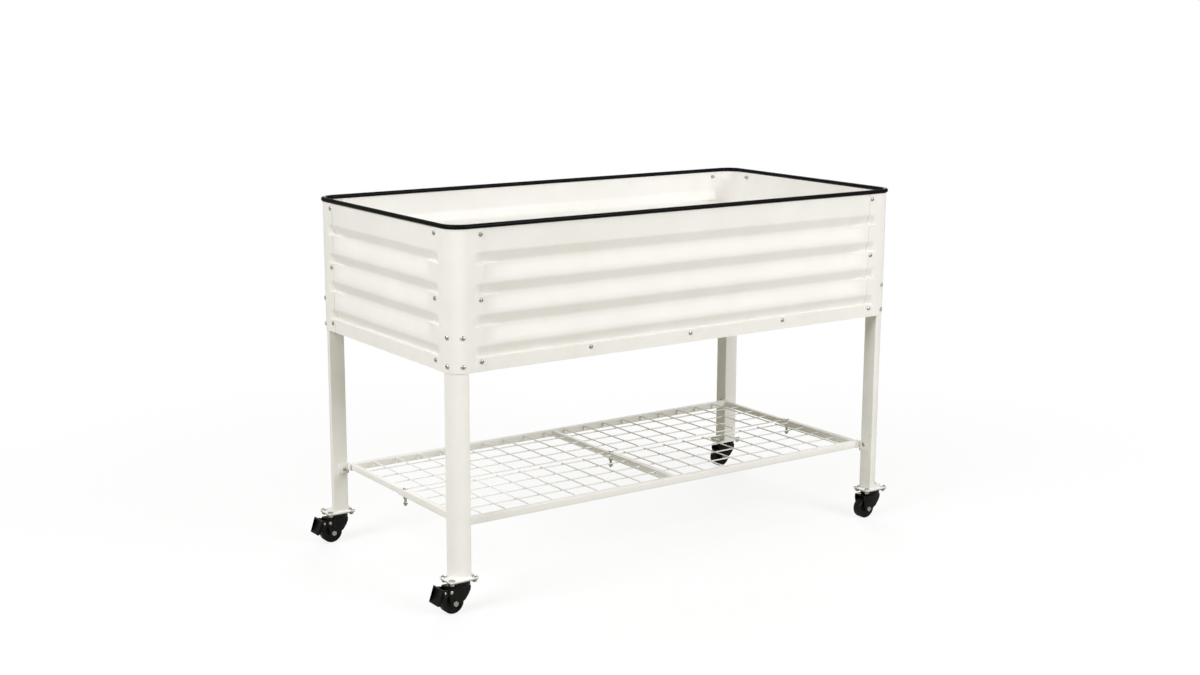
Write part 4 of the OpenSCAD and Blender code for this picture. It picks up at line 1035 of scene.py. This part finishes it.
def pedal():
    face = smooth_line(pedal_face())
    back = [p + Vector((pedal_t, -pedal_t * 0.2)) for p in face]
    tread = side_plate(face + back[::-1], -pedal_half, pedal_half, 0.6 * mm)
    eye = [(pivot.x + eye_r * math.cos(a), pivot.y + eye_r * math.sin(a), 0)
           for a in (math.radians(-80 + 170 * i / 12) for i in range(13))]
    arm = rounded([*from_pedal_top((12, 29, 0)), (pivot.x - 2 * mm, pivot.y - eye_r, 0), *eye,
                   *from_pedal_top((16, 2, 1), (12.5, 2, 0), (15.5, 10, 0), (16, 15, 0),
                                   (12.5, 23, 0), (8, 29, 0))])
    arms = [side_plate(arm, near, near + arm_t, 0.4 * mm) for near in (-arm_inner - arm_t, arm_inner)]
    pad_corners = ((-48.5, 45), (-42.3, 43.2), (-40, 53), (-48.5, 53))
    pad = side_plate([Vector((x * mm, z * mm)) for x, z in pad_corners], -arm_inner, arm_inner)
    ribs = []
    for i in range(rib_count):
        z = pedal_bottom + (i + 0.75) * (pedal_top - pedal_bottom) / rib_count
        x = min(face, key=lambda p: abs(p.y - z)).x
        bar = turned([(0, -pedal_half), (rib_r * 0.7, -pedal_half), (rib_r, -pedal_half + 0.3 * mm),
                      (rib_r, pedal_half - 0.3 * mm), (rib_r * 0.7, pedal_half), (0, pedal_half)], 16)
        ribs.append(placed(placed(bar, lying), Matrix.Translation((x, 0, z))))
    return joined([tread, *arms, pad, *ribs])


def headed(near, far, shank_r, head_r):
    """Two like rivet ends along Y, each a shank between two distances and a round head past it."""
    head_h = 1.5 * mm
    dome = [(head_r * out, far + head_h * up) for out, up in ((1, 0), (1, 0.3), (0.85, 0.68), (0.48, 0.94))]
    lain = placed(turned([(0, near), (shank_r, near), (shank_r, far), *dome, (0, far + head_h)]), lying)
    return joined([lain, placed(lain, Matrix.Diagonal((1, -1, 1, 1)))])


on_each_caster("brake_pedal", pedal(), pedal_nylon, "pedal_nylon", "brake_{}")
on_each_caster("brake_rivets", headed(arm_inner, cheek_y + fork_t, 2.5 * mm, 3.75 * mm), zinc,
               "zinc_steel", "swivel_{}", *pivot)
on_each_caster("brake_pin", headed(0, arm_inner + arm_t, 2 * mm, 3.25 * mm), zinc,
               "zinc_steel", "brake_{}", pivot.x - pin_past_pivot, pivot.y)

# ---------------- the studio
# A plain pale floor, two wide soft lamps in front of the bed's long side and of its left end, a
# weaker one behind it, and slightly warm light from all round. Only the camera sees white.

lamp_side = 2.2                  # metres, as all below
lamp_target = Vector((0, 0, 0.5))
lamp_tint = (0.98, 0.985, 1.045)
ambient_tint = (1, 0.985, 0.8, 1)
floor_side = 60
floor_gap = 0.5 * mm             # the wheels stand just clear of it
photo_camera_place = (-2.2698, -3.1990, 1.2688)

bpy.ops.mesh.primitive_plane_add(size=floor_side, location=(0, 0, -floor_gap))
floor = bpy.context.object
floor.name = "studio_floor"
ground = bpy.data.materials.new("studio_paper")
ground.use_nodes = True
tree = ground.node_tree
tree.nodes.clear()
glow = add_node(tree, "ShaderNodeEmission", {"Color": linear("#FFFFFF"), "Strength": 1})
path = add_node(tree, "ShaderNodeLightPath")
# What the camera sees is white paper; it throws less light back up at the object than paper would
tone = add_node(tree, "ShaderNodeMix",
                {"data_type": "RGBA", 6: linear("#B6B4A8"), 7: linear("#FAFAFA")},
                {0: path.outputs["Is Camera Ray"]})
paper = add_node(tree, "ShaderNodeBsdfDiffuse", links={"Color": tone.outputs[2]})
place = add_node(tree, "ShaderNodeTexCoord").outputs["Object"]
distance = add_node(tree, "ShaderNodeVectorMath", {"operation": "LENGTH"}, {0: place})
far = add_node(tree, "ShaderNodeMapRange",
               {"From Min": 0.6, "From Max": 2.0, "To Min": 0.8, "To Max": 1.0},
               {"Value": distance.outputs["Value"]})
share = add_node(tree, "ShaderNodeMath", {"operation": "MULTIPLY"},
                 {0: path.outputs["Is Camera Ray"], 1: far.outputs[0]})
blend = add_node(tree, "ShaderNodeMixShader",
                 links={0: share.outputs[0], 1: paper.outputs[0], 2: glow.outputs[0]})
add_node(tree, "ShaderNodeOutputMaterial", links={"Surface": blend.outputs[0]})
floor.data.materials.append(ground)

world = bpy.data.worlds.new("studio_light")
bpy.context.scene.world = world
world.use_nodes = True
tree = world.node_tree
tree.nodes.clear()
path = add_node(tree, "ShaderNodeLightPath")
ambient = add_node(tree, "ShaderNodeBackground", {"Color": ambient_tint, "Strength": 0.33})
backdrop = add_node(tree, "ShaderNodeBackground", {"Color": linear("#FFFFFF"), "Strength": 1})
blend = add_node(tree, "ShaderNodeMixShader",
                 links={0: path.outputs["Is Camera Ray"], 1: ambient.outputs[0], 2: backdrop.outputs[0]})
add_node(tree, "ShaderNodeOutputWorld", links={"Surface": blend.outputs[0]})


def soft_box(name, place, watts):
    """A square lamp that looks at the middle of the object."""
    lamp = bpy.data.lights.new(name, "AREA")
    lamp.shape = "SQUARE"
    lamp.size = lamp_side
    lamp.energy = watts
    lamp.color = lamp_tint
    obj = bpy.data.objects.new(name, lamp)
    obj.location = place
    obj.rotation_euler = (lamp_target - obj.location).to_track_quat("-Z", "Y").to_euler()
    bpy.context.scene.collection.objects.link(obj)


soft_box("front_lamp", (1.55, -4.26, 2.61), 143)
soft_box("left_lamp", (-4.1, -0.85, 3.2), 149)
soft_box("back_lamp", (2.6, 3.67, 2.6), 95)

camera = bpy.data.cameras.new("photo_camera")
camera.sensor_width = 36
camera.lens = 50.5
camera.clip_start, camera.clip_end = 0.1, 100
camera_object = bpy.data.objects.new("photo_camera", camera)
bpy.context.scene.collection.objects.link(camera_object)
heading, pitch, roll = math.radians(34.96), math.radians(-11.50), math.radians(0.229)
ahead = Vector((math.sin(heading), math.cos(heading), 0))
forward = ahead * math.cos(pitch) + Vector((0, 0, math.sin(pitch)))
level = Vector((math.cos(heading), -math.sin(heading), 0))
right = level * math.cos(roll) + level.cross(forward) * math.sin(roll)
up = right.cross(forward)
camera_object.matrix_world = (Matrix.Translation(photo_camera_place)
                              @ Matrix((right, up, -forward)).transposed().to_4x4())
bpy.context.scene.camera = camera_object
bpy.context.scene.view_settings.view_transform = "Standard"
